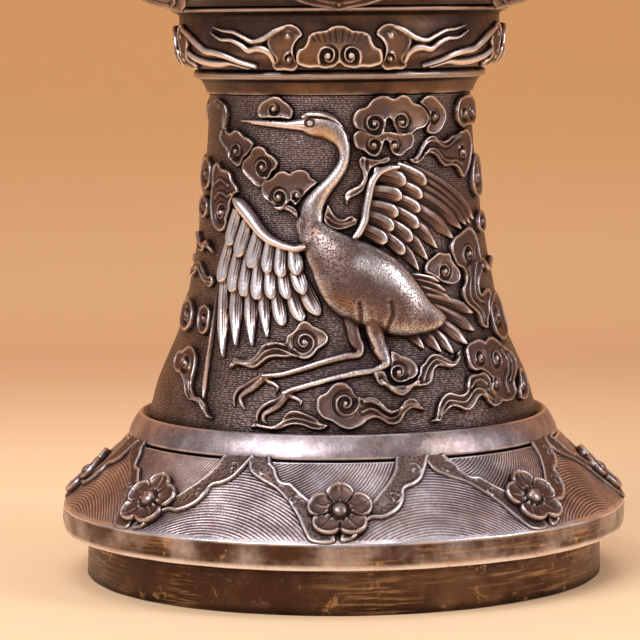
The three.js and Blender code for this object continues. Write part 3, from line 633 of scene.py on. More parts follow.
class Relief:
    """Heights in millimetres above the wall on a chart of it: s runs round the wall and z up it."""

    def __init__(self, left, right, low, high, step=0.16):
        self.step = step
        self.s, self.z = np.meshgrid(np.arange(left, right, step), np.arange(low, high, step))
        self.height = np.full(self.s.shape, BURIED)
        self.pits, self.worn, self.gold = np.zeros((3, *self.s.shape))

    def window(self, points, margin):
        """The part of the chart that holds the points and a margin about them."""
        low = (points.min(0) - margin - (self.s[0, 0], self.z[0, 0])) / self.step
        high = (points.max(0) + margin - (self.s[0, 0], self.z[0, 0])) / self.step
        column, row = np.maximum(low.astype(int), 0)
        column_end, row_end = np.maximum(high.astype(int) + 2, 1)
        return slice(row, row_end), slice(column, column_end)

    def away(self, place, line):
        """Distance from each place to a line of points."""
        start, end = line[:-1, :2], line[1:, :2]
        side = end - start
        s, z = self.s[place], self.z[place]
        ahead = [(s - a[0]) * d[0] + (z - a[1]) * d[1] for a, d in zip(start, side)]
        share = [np.clip(value / max(d @ d, 1e-9), 0, 1) for value, d in zip(ahead, side)]
        return np.min(
            [np.hypot(s - a[0] - t * d[0], z - a[1] - t * d[1]) for a, d, t in zip(start, side, share)], axis=0
        )

    def depth(self, place, line):
        """Distance inside a closed line of points, negative outside it."""
        s, z = self.s[place], self.z[place]
        inside = np.zeros(s.shape, bool)
        for (s1, z1), (s2, z2) in zip(line[:-1], line[1:]):
            if z1 != z2:
                inside ^= ((z1 > z) != (z2 > z)) & (s < (s2 - s1) * (z - z1) / (z2 - z1) + s1)
        return np.where(inside, 1, -1) * self.away(place, line)

    def raise_to(self, place, height, pits=0.0, worn=0.0):
        """Keeps the higher of what is there and height, with how punched and how rubbed the new surface is, its rub
        coming from wear and from painted highlight.
        """
        higher = height > self.height[place]
        for layer, value in ((self.height, height), (self.pits, pits), (self.worn, worn)):
            layer[place] = np.where(higher, value, layer[place])

    def tube(self, path, base=0.0, pits=0.0, full=1.0, worn=0.0):
        """A rounded bar, half an ellipse across where full is 1 and squarer where it is more. Rows of path are
        [s, z, half its width, height]."""
        line = curve(path, max(min(row[2] for row in path) * 0.3, 0.12))
        place = self.window(line[:, :2], line[:, 2].max() + 0.6)
        s, z = self.s[place], self.z[place]
        height = np.full(s.shape, -9.0)
        for at, level, half, high in line:
            share = 1 - (((s - at) ** 2 + (z - level) ** 2) / half**2) ** full
            height = np.maximum(height, np.where(share > 0, high * np.sqrt(np.abs(share)), share * 8))
        self.raise_to(place, height + base, pits, worn)

    def feather(self, root, tip, width, base, thick=0.7, rise=0.3, point=0.75, dull=1, bow=0.03, worn=0.0):
        """A leaf with a flat back and round edges, thicker towards the tip. It leans down to one side, which
        dull names by its sign, and fine grooves run up that half. It bends away from that side by the share bow
        of its length."""
        root, tip = np.array(root, float), np.array(tip, float)
        length = np.hypot(*(tip - root))
        ahead = (tip - root) / length
        place = self.window(np.stack([root, tip]), width)
        s, z = self.s[place] - root[0], self.z[place] - root[1]
        along = s * ahead[0] + z * ahead[1]
        across = z * ahead[0] - s * ahead[1]
        across = across + dull * bow * 4 * along * (1 - along / length)
        widest = length - width * point
        beyond = np.clip((along - widest) / (length - widest), 0, 1)
        taper = np.sqrt(1 - beyond**2) if point < 1 else (1 - beyond) ** 0.72
        half = width / 2 * np.clip(0.8 + 0.2 * along / widest, 0.6, 1) * taper
        share = 1 - (np.abs(across) / np.maximum(half, 0.03)) ** 3.2
        share = np.where((along < 0) | (along > length), -3, share)
        part = np.clip(dull * across / (width / 2), -1, 1)
        lean = 1 - 0.3 * part
        high = np.abs(share) ** 0.45 * (thick + rise * along / length) * lean
        lines = 0.5 - 0.5 * np.cos(2 * np.pi * across / 0.5)
        where = np.clip((part + 0.1) / 0.2, 0, 1) * (part < 0.85) * bell(along / length - 0.4, 0.32)
        high = np.where(share > 0, high - 0.3 * lines * where, share * 4)
        # The grooved half is given less rub, which darkens it: partly patina in the grooves and partly painted shade
        # on the half that leans away from the light.
        self.raise_to(place, base + high, worn=worn - 0.4 * where)

    def blurred(self, radius):
        """Heights averaged over a square twice, with what is buried taken as the ground."""
        height = np.maximum(self.height, 0)
        reach = int(radius / self.step)
        for axis in (0, 1, 0, 1):
            pad = [(reach + 1, reach) if one == axis else (0, 0) for one in (0, 1)]
            total = np.cumsum(np.pad(height, pad, mode="edge"), axis=axis)
            ends = np.arange(height.shape[axis]) + 2 * reach + 1
            height = (total.take(ends, axis) - total.take(ends - 2 * reach - 1, axis)) / (2 * reach + 1)
        return height


def chased(name, relief, wall, turn=0.0, round_radius=None):
    """Lays a relief on a wall, which gives the radius and the height of a place from how far up the wall it is:
    each place moves out square to the wall by its relief. Attribute edge is 1 where it stands above its
    neighbourhood and -1 where it lies below."""
    radius, level = wall(relief.z)
    lean = np.arctan2(-np.gradient(radius, relief.step, axis=0), np.gradient(level, relief.step, axis=0))
    angle = relief.s / (round_radius or radius + CHART_LIFT) + turn
    height = np.maximum(relief.height, BURIED)
    out = radius + height * np.cos(lean)
    points = np.stack([out * np.sin(angle), -out * np.cos(angle), level + height * np.sin(lean)], -1)
    faces = grid_faces(*height.shape)
    faces = faces[height.ravel()[faces].max(1) > BURIED + 0.1]
    used, faces = np.unique(faces, return_inverse=True)
    layers = {
        "edge": np.clip((height - relief.blurred(EDGE_REACH)) / EDGE_RISE, -1, 1),
        "pits": relief.pits,
        "worn": relief.worn,
        "gold": relief.gold,
    }
    layers = {layer: values.ravel()[used] for layer, values in layers.items()}
    return new_piece(name, points.reshape(-1, 3)[used], faces.reshape(-1, 4), layers)


def repeated(name, reliefs, wall, count, material, node, turn=0.0, round_radius=None):
    """Lays reliefs by turns, count in all, round a wall. Each is a piece, and braces hold its number."""
    for number in range(count):
        relief = reliefs[number % len(reliefs)]
        piece = chased(name.format(number + 1), relief, wall, turn + number * 2 * np.pi / count, round_radius)
        dress(piece, material, node.format(number + 1))


NEAR_EDGE = [[(-28.6, 66), (-31.9, 39.8), 1.5]]
NEAR_LONG = [
    [(-27.6, 65), (-26.8, 48.4), 3.0], [(-23.6, 64), (-23.4, 50.6), 3.7],
    [(-19.8, 63.5), (-19.3, 50.9), 3.4], [(-16.6, 63), (-15.7, 52.6), 3.2],
]
NEAR_LOW = [
    [(-13.8, 63), (-12.3, 55.2), 3.3], [(-10.6, 63), (-8.1, 56.2), 3.4], [(-8, 64), (-4.6, 57.5), 3.8],
]
NEAR_MIDDLE = [
    [(-25.4, 72), (-28.1, 63.4), 3.1], [(-22.4, 71), (-24.6, 61.6), 3.4], [(-19.8, 70), (-21.4, 60.8), 3.2],
    [(-17.3, 69.5), (-18.1, 60.3), 3.2], [(-14.7, 69), (-14.7, 60.6), 3.1], [(-12.4, 68.5), (-11.1, 60.7), 3.1],
    [(-9.9, 68), (-7.6, 61.7), 3.4],
]
NEAR_HIGH = [
    [(-22.9, 78.4), (-25, 70.9), 3.0], [(-20.2, 76.2), (-22.5, 68.7), 3.3], [(-17.3, 74), (-19.3, 66.6), 3.5],
    [(-14.6, 72.1), (-15.4, 65.7), 3.1], [(-12.2, 71.2), (-12.3, 64.9), 3.1], [(-9.6, 70.7), (-8.9, 65.5), 3.3],
]
FAR_LONG = [
    [(13, 87.6), (34.8, 75.4), 2.9], [(13.5, 86.2), (33, 74.6), 2.7], [(13.5, 84.6), (31.2, 74.4), 2.7],
    [(13, 83), (29.2, 73.7), 3.4], [(13, 80.2), (26.3, 71.9), 3.4], [(12.6, 77.4), (21.5, 70.2), 3.3],
    [(11.8, 75), (19, 67.9), 3.1], [(10.6, 72.9), (16.7, 65.9), 2.8],
]
FAR_MIDDLE = [
    [(11.5, 87.2), (18.6, 83.6), 3.4], [(11, 84), (17.6, 80.9), 3.1], [(10.6, 81.2), (17, 78.1), 3.1],
    [(10, 78.8), (16.6, 74.9), 3.2], [(8.8, 76.4), (15, 72.2), 3.2], [(7.8, 74), (13.2, 69.6), 3.0],
]
FAR_HIGH = [
    [(6.6, 86.1), (13.6, 83.9), 3.8], [(6, 82.5), (12.7, 81), 3.4], [(5.6, 79.6), (11.8, 77.5), 3.4],
    [(4.6, 77.8), (10.8, 74.6), 3.3], [(3.4, 75.2), (9.3, 72), 3.3],
]
TAIL = [
    [(11, 56.4), (17.4, 50.2), 2.3], [(13.5, 56.4), (21.5, 49.2), 2.5], [(15.5, 57), (24.6, 48.8), 2.5],
    [(16.5, 58), (28.8, 50.3), 2.7], [(16.5, 59.5), (31.4, 52.8), 2.7], [(15.5, 61), (31.4, 56.4), 2.7],
    [(15, 63), (25.2, 59.2), 1.7], [(15, 64.2), (23.4, 61.4), 1.5], [(14.5, 65.2), (21.8, 63.4), 1.4],
]
FAR_ARM = [
    [1.2, 71.6, 0.6, 0.9], [2.5, 72.7, 0.75, 1.0], [4, 74.7, 0.85, 1.1], [4.8, 76.5, 0.9, 1.1], [5.2, 79, 0.85, 1.1],
    [5.8, 82, 0.85, 1.1], [6.5, 84.5, 0.85, 1.1], [7.7, 86, 0.8, 1.0], [9.5, 86.9, 0.7, 0.9], [12, 87.2, 0.5, 0.7],
]
NEAR_ARM = [
    [-23.6, 80.3, 0.6, 0.5], [-22.6, 79.6, 1.05, 0.9], [-21.3, 78.5, 1.2, 1.0], [-19.5, 76.8, 1.2, 1.0],
    [-18, 75.2, 1.1, 1.0], [-16.4, 73.6, 1.0, 1.0], [-14.8, 72.5, 0.95, 1.0], [-12.9, 71.7, 0.85, 1.0],
    [-11, 71.1, 0.8, 1.0], [-9.3, 70.8, 0.75, 1.1], [-7.6, 71.1, 0.75, 1.4],
]
BODY = [
    [-6.6, 75.5, 2.9, 2.1], [-5, 73, 3.6, 2.5], [-3, 70.5, 4.7, 3.0], [-0.5, 68, 6.0, 3.6], [2.5, 65, 7.7, 4.2],
    [6.5, 62.4, 7.9, 4.6], [10.7, 59.7, 6.5, 4.3], [15.7, 57, 4.2, 3.4], [20.5, 56, 2.1, 2.0], [22.6, 56.1, 0.9, 1.0],
]
NECK = [
    [-7.6, 96.1, 1.45, 1.5], [-5.2, 96.3, 2.75, 1.8], [-3.2, 96, 2.8, 1.9], [-1.6, 94.9, 2.4, 1.9],
    [0.2, 93, 1.85, 1.8], [0.8, 91, 1.4, 1.8], [0.75, 89, 1.25, 1.8], [0.2, 87.4, 1.3, 1.8],
    [-0.9, 85.7, 1.4, 1.9], [-2.7, 83.6, 1.55, 2.0], [-4.6, 81.3, 2.0, 2.1], [-5.8, 79, 2.45, 2.2],
    [-6.1, 76.8, 2.65, 2.3], [-6.1, 74.5, 2.9, 2.4], [-5.8, 72.6, 3.2, 2.6],
]
BEAK = [[-23.2, 96.7, 0.2, 0.3], [-18.6, 96.45, 0.55, 0.7], [-14.8, 96.25, 0.78, 1.0], [-11, 96, 0.95, 1.2],
        [-7.6, 96.1, 1.4, 1.5]]
FAR_LEG = [
    [1.9, 57.2, 1.9, 1.8], [2.3, 55, 1.7, 1.7], [2.8, 52.6, 1.6, 1.6], [3.6, 51, 1.3, 1.4], [3.6, 50.2, 1.05, 1.3],
    [0.5, 49.4, 0.88, 1.15], [-3.2, 48.5, 0.82, 1.1], [-8.9, 46.8, 0.75, 1.0], [-13.1, 45.7, 0.68, 1.0],
    [-15.4, 45.4, 0.75, 1.1], [-16.6, 45.2, 0.85, 1.2],
]
NEAR_LEG = [
    [6.5, 58.8, 2.9, 4.1], [6.5, 57, 2.8, 3.6], [6.6, 54.6, 2.3, 2.8], [7.2, 51.8, 1.9, 2.2], [8.4, 49.5, 1.5, 1.8],
    [8.9, 47.8, 1.15, 1.5], [7.9, 47.1, 0.9, 1.3], [2.4, 46.05, 0.78, 1.1], [-3.2, 44.8, 0.72, 1.05],
    [-8.4, 43.4, 0.7, 1.05], [-10.4, 42.8, 0.78, 1.1], [-12, 42, 0.95, 1.2],
]
TOES = [
    [[-16.7, 45.4, 0.8, 1.1], [-18.6, 44.5, 0.7, 1.0], [-20.6, 43.4, 0.6, 0.95], [-22.4, 42.5, 0.58, 0.9],
     [-23.5, 41, 0.5, 0.8], [-23.5, 39.3, 0.25, 0.4]],
    [[-17, 44.7, 0.9, 1.15], [-19.2, 43, 0.85, 1.1], [-21, 41.9, 0.72, 1.0], [-22, 40.9, 0.6, 0.9],
     [-21.7, 39.8, 0.5, 0.75], [-21, 38.8, 0.25, 0.4]],
    [[-16.7, 45, 0.7, 1.0], [-15.4, 44.3, 0.62, 0.9], [-14.2, 43.9, 0.55, 0.8], [-13.5, 43.3, 0.48, 0.7],
     [-13.8, 42.3, 0.25, 0.4]],
    [[-11.9, 42, 0.8, 1.15], [-13.5, 40.9, 0.7, 1.0], [-15.4, 40.2, 0.6, 0.95], [-17, 39.2, 0.58, 0.9],
     [-18, 37.7, 0.5, 0.8], [-18, 36.3, 0.25, 0.4]],
    [[-11.9, 41.4, 0.9, 1.2], [-13.5, 39.7, 0.85, 1.1], [-15.3, 38.7, 0.72, 1.0], [-16.6, 37.7, 0.6, 0.9],
     [-16.6, 36.8, 0.5, 0.7], [-15.9, 36.1, 0.25, 0.4]],
    [[-11.8, 41.9, 0.7, 1.0], [-10.5, 41.6, 0.62, 0.9], [-9.3, 41.2, 0.55, 0.8], [-8.6, 40.7, 0.48, 0.7],
     [-8.8, 39.8, 0.25, 0.4]],
]
CREST = [[-7.6, 97.7, 0.4, 0.7], [-6.4, 98.0, 0.75, 1.0], [-4.7, 98.0, 0.8, 0.9], [-2.6, 97.5, 0.8, 0.9],
         [-1.1, 96.3, 0.8, 0.9], [0.35, 94.7, 0.7, 0.8], [1.3, 92.9, 0.5, 0.6], [1.7, 91.3, 0.25, 0.4]]

EVERYWHERE = (slice(None), slice(None))
bird = Relief(-34, 35, 35.5, 101)
# The last column sets each row's rub. The near wing's rows are raised to bright as a painted highlight on their flat
# backs. The far wing, tail and edge feather are lowered, which paints them darker.
for row, base, thick, point, dull, bow, worn in [
    (FAR_LONG, 0.0, 0.5, 1.4, -1, 0.05, -0.4), (FAR_MIDDLE, 0.2, 0.7, 0.6, -1, 0.05, -0.2),
    (FAR_HIGH, 0.45, 0.75, 0.55, -1, 0.05, -0.1), (NEAR_EDGE, 0.0, 0.5, 1.5, 1, 0.03, -1.0),
    (NEAR_LONG, 0.0, 0.9, 1.9, 1, 0.03, 0.4), (NEAR_LOW, 0.1, 0.9, 0.9, 1, 0.03, 0.45),
    (NEAR_MIDDLE, 0.5, 0.95, 0.75, 1, 0.02, 0.85), (NEAR_HIGH, 0.95, 1.0, 0.7, 1, 0.02, 1.0),
    (TAIL, 0.0, 0.7, 1.4, -1, 0.04, -0.45),
]:
    for root, tip, width in row:
        bird.feather(root, tip, width, base, thick, point=point, dull=dull, bow=bow, worn=worn)
bird.tube(FAR_ARM, base=0.8)
# The near arm's raised rub is a painted highlight.
bird.tube(NEAR_ARM, base=1.6, worn=1.0)
bird.tube(FAR_LEG, worn=-0.8)
for toe in TOES:
    bird.tube(toe, worn=-0.75)
bird.tube(BODY, pits=1.0, full=1.5)
bird.tube(NEAR_LEG, pits=0.6, worn=-0.55)
bird.tube(NECK, pits=0.5, worn=0.1)
bird.tube(BEAK, base=0.15, worn=1.0)
bird.tube(CREST, base=0.8, worn=0.1)
# Painted highlight: a bright band of rub colour along the crane's back, where the light catches its upper edge.
back = np.array([[4, 67.6], [9, 65.4], [13.5, 62.6], [17.5, 59.4], [20.5, 57]])
bird.worn += 0.9 * bell(bird.away(EVERYWHERE, back), 1.7)
bird.gold += 0.8 * bell(np.hypot((bird.s + 3.6) / 1.5, bird.z - 93.4), 1.7)


def carve(relief, path, width, depth):
    """Cuts a round-bottomed line into what is already raised."""
    line = curve(path, 0.2)
    place = relief.window(line, 3 * width)
    relief.height[place] -= depth * bell(relief.away(place, line), width)


def dot(relief, s, z, width, height):
    """Adds a round bump, or a dent where the height is negative."""
    place = relief.window(np.array([[s, z]]), 3 * width)
    relief.height[place] += height * bell(np.hypot(relief.s[place] - s, relief.z[place] - z), width)


EYE = (-6.05, 96.4)
carve(bird, [[-22, 96.45], [-15, 96.1], [-9, 95.5], [-7.4, 95.3]], 0.14, 0.25)
carve(bird, [[-7.5, 97.9], [-6.6, 97.7], [-4.4, 97.5], [-2, 97.1], [-0.2, 96], [1.2, 94.4], [1.8, 92.7]], 0.18, 0.4)
turns = np.linspace(0, 2 * np.pi, 24)
carve(bird, np.stack([EYE[0] + 0.85 * np.cos(turns), EYE[1] + 0.85 * np.sin(turns)], -1), 0.15, 0.3)
dot(bird, *EYE, 0.5, 0.35)
dot(bird, -15, 96.9, 0.22, -0.5)
carve(bird, [[3.3, 59.6], [3.6, 57], [4.1, 54.6], [5.2, 52.2], [6.2, 50.6]], 0.4, 0.35)
carve(bird, [[9.2, 59.6], [9.6, 57.5], [9.2, 55.4], [8.9, 54]], 0.45, 0.35)


def stipple(tree):
    """Round punch marks, close together, where the attribute asks for them."""
    return tree.punched(2300.0, 0.22) * tree.attribute("pits")


# The crane's extra rub carries wear and painted highlight: the bright back, the near wing and the near arm.
crane_bronze = bronze(
    "crane_bronze",
    [(0.035, 0.02, 0.017), (0.18, 0.108, 0.094), (0.84, 0.76, 0.77)],
    (0.46, 0.26),
    rub=(0.6, 0.44),
    wear_and_highlight_rub=lambda tree: tree.attribute("worn") * 0.34,
    pits=stipple,
    streak=lambda tree: tree.attribute("gold"),
)
BIRD_COUNT = 2
repeated("crane_{}_chased", [bird], stem_wall, BIRD_COUNT, crane_bronze, "crane_{}")


# Clouds: scrolled plates about a millimetre thick, each with a raised bright rim and a curl that ends in a boss,
# and tails of two or three ribs. They are soldered to the ground between the birds.
def spiral(centre, radius, start, turn, inner=0.55):
    """Points of a curl from radius in to the boss, from angle start through turn degrees."""
    t = np.linspace(0, 1, 40)
    angle = np.radians(start + turn * t)
    reach = radius * (1 - t) + inner * t
    return np.stack([centre[0] + reach * np.cos(angle), centre[1] + reach * np.sin(angle)], -1)


CLOUD_HEIGHT = 1.0


def plate(relief, outline, height=CLOUD_HEIGHT, rim=0.22, soft=0.3):
    """A flat plate inside an outline, a little hollow, with a raised round rim. Its edge is rounded over soft."""
    line = curve(outline, 0.25, closed=True)
    place = relief.window(line, 0.6)
    inside = relief.depth(place, line)
    edge = np.sqrt(np.clip(1 - (1 - np.clip(inside / soft, 0, 1)) ** 2, 0, 1)) * height
    hollow = 0.22 * (1 - np.exp(-np.clip(inside - 0.55, 0, None) / 0.5))
    top = np.where(inside > 0, edge + rim * bell(inside - 0.36, 0.2) - hollow, inside * 6)
    relief.raise_to(place, top)


def curl(relief, centre, radius, start, turn, boss=0.72):
    """A sunk round with a raised rib that winds inwards and a round boss at its end."""
    line = spiral(centre, radius, start, turn)
    place = relief.window(line, 1.2)
    height = relief.height[place]
    raised = height > 0.4
    from_centre = np.hypot(relief.s[place] - centre[0], relief.z[place] - centre[1])
    sunk = 0.42 * np.clip((radius + 0.25 - from_centre) / 0.4, 0, 1)
    rib = 0.62 * bell(relief.away(place, line), 0.31)
    dome = 0.95 * np.sqrt(np.clip(1 - (from_centre / boss) ** 2, 0, None))
    relief.height[place] = np.where(raised, height - sunk + np.maximum(rib, dome), height)


def rib(relief, path, high=0.3, width=0.26):
    """A raised line with a shallow channel on each side."""
    line = curve(path, 0.25)
    place = relief.window(line, 1.2)
    away = relief.away(place, line)
    change = high * bell(away, width) - high * 0.8 * bell(away - width * 2.2, width)
    relief.height[place] += change * (relief.height[place] > 0.25)


cloud_bronze = bronze(
    "cloud_bronze",
    [(0.028, 0.017, 0.015), (0.15, 0.092, 0.08), (0.68, 0.58, 0.57)],
    (0.48, 0.28),
    rub=(0.38, 0.38),
    grain=1.2,
    golden=0.35,
)


def clouds(name, plates, curls, ribs):
    """One group of clouds, on the front and again on the rear."""
    corners = np.concatenate([np.array(outline, float) for outline in plates])
    low, high = corners.min(0) - 0.9, corners.max(0) + 0.9
    relief = Relief(low[0], high[0], low[1], high[1], 0.18)
    for outline in plates:
        plate(relief, outline)
    for line in ribs:
        rib(relief, line)
    for one in curls:
        curl(relief, *one)
    repeated(name + "_{}_chased", [relief], stem_wall, BIRD_COUNT, cloud_bronze, name + "_{}")


clouds(
    "cloud_beak",
    [[(-17.8, 97.6), (-18, 98.8), (-17.6, 100), (-16.9, 100.7), (-15.9, 101.2), (-14.9, 101.7), (-13.8, 101.9),
      (-12.6, 101.7), (-11.8, 101.1), (-10.6, 100.3), (-9.8, 99.2), (-9.7, 98), (-10, 97.3), (-12.5, 97.3),
      (-15.3, 97.3)]],
    [((-14.1, 99.2), 1.25, 215, -230)],
    [],
)
clouds(
    "cloud_neck",
    [
        [(-26, 94.2), (-24.5, 94.9), (-23.2, 94.7), (-22, 93.8), (-20, 93), (-19, 92), (-19.4, 91), (-20.4, 89.9),
         (-21.8, 88.8), (-22.6, 87.5), (-23.7, 87.2), (-25, 87.8), (-26.5, 89), (-27.5, 90.5), (-29, 91.5),
         (-30.2, 93), (-29.6, 94.6), (-29.2, 96.5), (-29.3, 98), (-30.6, 98.9), (-32.5, 99.4), (-33.4, 100.4),
         (-32, 101.2), (-29.8, 100.7), (-28.2, 99.9), (-27.4, 98.4), (-27.6, 96.4), (-27.7, 95)],
        [(-22.3, 87.2), (-22, 88.4), (-20.8, 89.3), (-20, 90), (-19.5, 91), (-18.6, 91.6), (-17.3, 91.7),
         (-16.2, 91.2), (-15.5, 90.3), (-14.3, 89.7), (-13.4, 88.8), (-13.2, 87.8), (-13.6, 86.9), (-14.5, 86.3),
         (-15, 85.3), (-16, 84.3), (-17, 83.2), (-18.5, 83.3), (-20, 84.4), (-21.5, 85.5), (-22.2, 86.3)],
        [(-16.9, 84), (-17.1, 82.5), (-16.6, 81), (-15.5, 80.3), (-14.3, 79.4), (-13.9, 78.8), (-12.8, 78.4),
         (-11.8, 78.8), (-11, 79.8), (-10.4, 80.4), (-9.4, 79.4), (-8.6, 80.2), (-7.5, 81.6), (-6, 83),
         (-4.6, 84.4), (-5.2, 85), (-6, 85.5), (-6.6, 86.5), (-7.6, 87), (-8.8, 87), (-10, 86.6), (-10.5, 86.2),
         (-11.3, 86.6), (-12.4, 86.7), (-13.5, 86.3), (-14.3, 85.5), (-15.2, 84.9), (-16.2, 84.6)],
        [(-12, 78.8), (-10.8, 78.3), (-9.6, 77.4), (-8.7, 76.6), (-8.6, 77.6), (-9, 78.8), (-10, 79.6), (-11, 79.8)],
    ],
    [((-24.3, 90.4), 1.9, 215, -400), ((-17, 87.3), 2.1, 290, -430), ((-13.1, 81.3), 2.1, 255, 430),
     ((-9, 81.7), 1.3, 235, -230)],
    [[(-28.6, 95), (-28.4, 97), (-28.6, 98.8), (-30, 99.7), (-32, 100.3)]],
)
clouds(
    "cloud_crown",
    [
        [(2.5, 96.3), (2.7, 98), (3.7, 99.2), (5.4, 99.8), (6.5, 101.1), (8.2, 101.9), (9.6, 101.9), (11.1, 101.3),
         (12.9, 102), (14.9, 101.4), (15.6, 100.5), (17.7, 99.7), (19.2, 98.3), (19.6, 96.6), (18.5, 95.1),
         (16.4, 94.5), (15.2, 93.7), (13.6, 93.4), (12.1, 94), (11.3, 95.3), (10.7, 96.6), (10, 97.1), (9.5, 96.4),
         (9.3, 95.3), (9, 93.9), (7.8, 93.2), (6, 93.6), (4.7, 94.6), (3, 95.3)],
        [(2.6, 94), (2.5, 92.6), (3, 91.3), (4.6, 90.6), (6, 89.5), (7.4, 89.3), (8.3, 90.2), (8.7, 91.5),
         (9.4, 92.6), (10.1, 91.9), (10.4, 90.8), (11.3, 89.5), (12.8, 89.3), (14, 90.3), (15.3, 91), (15.9, 92.3),
         (15.8, 93.7), (14.6, 94.3), (12.8, 94), (11.2, 94.4), (9.4, 94.6), (7.6, 94), (5.6, 94.4), (4, 95)],
        [(4.4, 89.7), (3.7, 88.8), (3.9, 87.5), (4.3, 86.2), (4.3, 85), (3.7, 84), (2.3, 83.3), (1.2, 82.6),
         (0.6, 81.5), (0.8, 80.4), (1.3, 79.5), (1.7, 80.5), (2.4, 81.2), (3.6, 81.8), (4.8, 82.7), (5.5, 84),
         (5.8, 85.5), (6.2, 86.8), (7.5, 87.6), (9.5, 88), (10.5, 88.7), (10, 89.4), (8, 89), (6, 89.2)],
        [(17.3, 100.3), (18.6, 101.5), (20.8, 101.7), (22.8, 100.3), (24.3, 98.9), (24.8, 97.5), (24.2, 95.8),
         (22.6, 94.1), (20.7, 93.5), (19.3, 93.9), (18.9, 94.9), (19.7, 96.6), (19.2, 98.5)],
        [(-3.6, 77), (-3.1, 79), (-2.7, 80.2), (-2, 79), (-1.3, 77.8), (-0.3, 77), (0.8, 77), (1.8, 77.6),
         (2.8, 77.4), (3.7, 76.6), (3.3, 75.8), (2, 75.2), (0.5, 74.7), (-1, 74.6), (-2.3, 75.1), (-3.4, 76)],
    ],
    [((7, 96.1), 2.15, 345, 480, 0.6), ((13.1, 96.3), 2.15, 200, -400, 0.6), ((6.9, 91.8), 1.6, 330, 400),
     ((11.4, 91.7), 1.4, 215, -330), ((21.2, 97.3), 1.6, 200, -360)],
    [[(4.9, 89), (4.9, 87.3), (5.1, 85.5), (4.6, 83.9), (3.1, 82.8), (1.8, 82), (1.3, 80.8)],
     [(-2.6, 77.2), (-1.4, 76.2), (0.2, 75.8), (1.8, 76.2), (2.9, 76.6)]],
)
clouds(
    "cloud_streamer",
    [
        [(14.6, 88.8), (15.6, 89), (16.5, 89.9), (17.5, 91.4), (18.5, 92.6), (20, 93.4), (21.3, 93.4), (22.7, 92.6),
         (24, 92.2), (25.3, 92.6), (26.5, 93.2), (28.5, 93.4), (31, 94.2), (33, 94.4), (35, 93), (35.8, 91),
         (34.8, 88.5), (33.5, 86.5), (32, 85), (30.5, 84.2), (29.4, 85.2), (28.4, 86.3), (27, 86.9), (25.3, 86.9),
         (24, 86.9), (23, 87.6), (22, 88.7), (21, 89.4), (20, 89.7), (19, 89.4), (17.8, 88.4), (16.5, 87.7),
         (15.2, 87.9)],
        [(28.6, 98), (29, 99.5), (30, 100.7), (32, 101.3), (35, 101.5), (38, 101), (40, 99.5), (40.4, 97),
         (38.5, 95.2), (35.5, 95), (33, 94.9), (31.2, 94.6), (30, 95.1), (29, 96.2)],
        [(35, 83.5), (35.4, 86), (37, 88), (39.5, 89), (42, 88.3), (43.3, 86.5), (43.4, 84), (42.4, 81.5),
         (40.5, 80), (38, 79.8), (36, 81)],
    ],
    [((30.9, 89.6), 1.8, 150, -400), ((32.6, 97.6), 1.9, 200, -380), ((37.2, 97.8), 1.7, 330, 380),
     ((39.4, 84.4), 2.6, 200, -460)],
    [[(16.4, 88.7), (17.6, 90.2), (18.8, 91.7), (20.2, 92.3), (21.6, 92.2), (23, 91.4), (24.5, 91), (26, 91.3),
      (28, 92.3), (30, 92.9)],
     [(18.5, 89.9), (20, 90.7), (21.5, 90.5), (22.7, 89.6), (24, 88.4), (26, 88), (28, 88), (30, 87.2)]],
)
clouds(
    "cloud_rump",
    [
        [(17.9, 66.5), (18.5, 67.8), (20, 68.8), (21.5, 69.6), (23.3, 69.3), (24.6, 69.2), (25.1, 68), (26, 66.9),
         (27, 66), (27.6, 65), (27.5, 63.6), (26.5, 62.9), (25, 62.6), (23.5, 62.9), (22, 63.4), (20.5, 64.2),
         (19, 65), (18, 65.4)],
        [(25.1, 69.6), (25.3, 71), (26.2, 72.3), (27.8, 72.9), (29.5, 73.6), (31.5, 74.2), (33.5, 73.5),
         (34.8, 72), (35.8, 70), (36.3, 68.1), (37.2, 66.3), (36.3, 64.6), (34.8, 63.1), (34.3, 61.6), (35, 60.2),
         (36.4, 60.6), (38.6, 61.1), (40.4, 59.7), (38.8, 58), (38.4, 56), (36.8, 54.3), (36.5, 52.9), (34.8, 53.4),
         (33.9, 54.4), (33.4, 55.7), (31.8, 56.9), (29.4, 58.4), (28.4, 59.8), (28.3, 61.9), (29.2, 63.2),
         (29.5, 64.5), (28.6, 65.6), (26.7, 66.4), (25.8, 67.8)],
        [(36.5, 74.6), (37.2, 76.3), (39, 77.2), (41, 76.8), (42.3, 75.3), (42, 73.4), (40.4, 72.4), (38.3, 72.5),
         (37, 73.3)],
        [(35.8, 65.4), (36.6, 67), (38.4, 67.2), (39.8, 66.2), (41.6, 65.8), (43.4, 66.6), (44.8, 67.4),
         (45, 66.2), (43.8, 64.8), (42, 64.2), (40, 64.4), (38.4, 65.2), (37.2, 65)],
    ],
    [((23.2, 65.5), 1.8, 200, -400), ((31.4, 68.6), 2.3, 225, -430),
     ((39.5, 74.8), 1.5, 200, -400)],
    [[(36.4, 65.8), (38.2, 66.3), (39.8, 65.3), (41.8, 65), (43.6, 65.8)],
     [(30.6, 65.6), (31.2, 63.4), (30.6, 61.2), (31.4, 59.2), (33.4, 57.8), (35, 56.2), (35.4, 54.4)],
     [(34, 66.6), (33.2, 64.6), (32.6, 62.4), (32.8, 60.4), (34.4, 58.9), (36.4, 58.4)]],
)
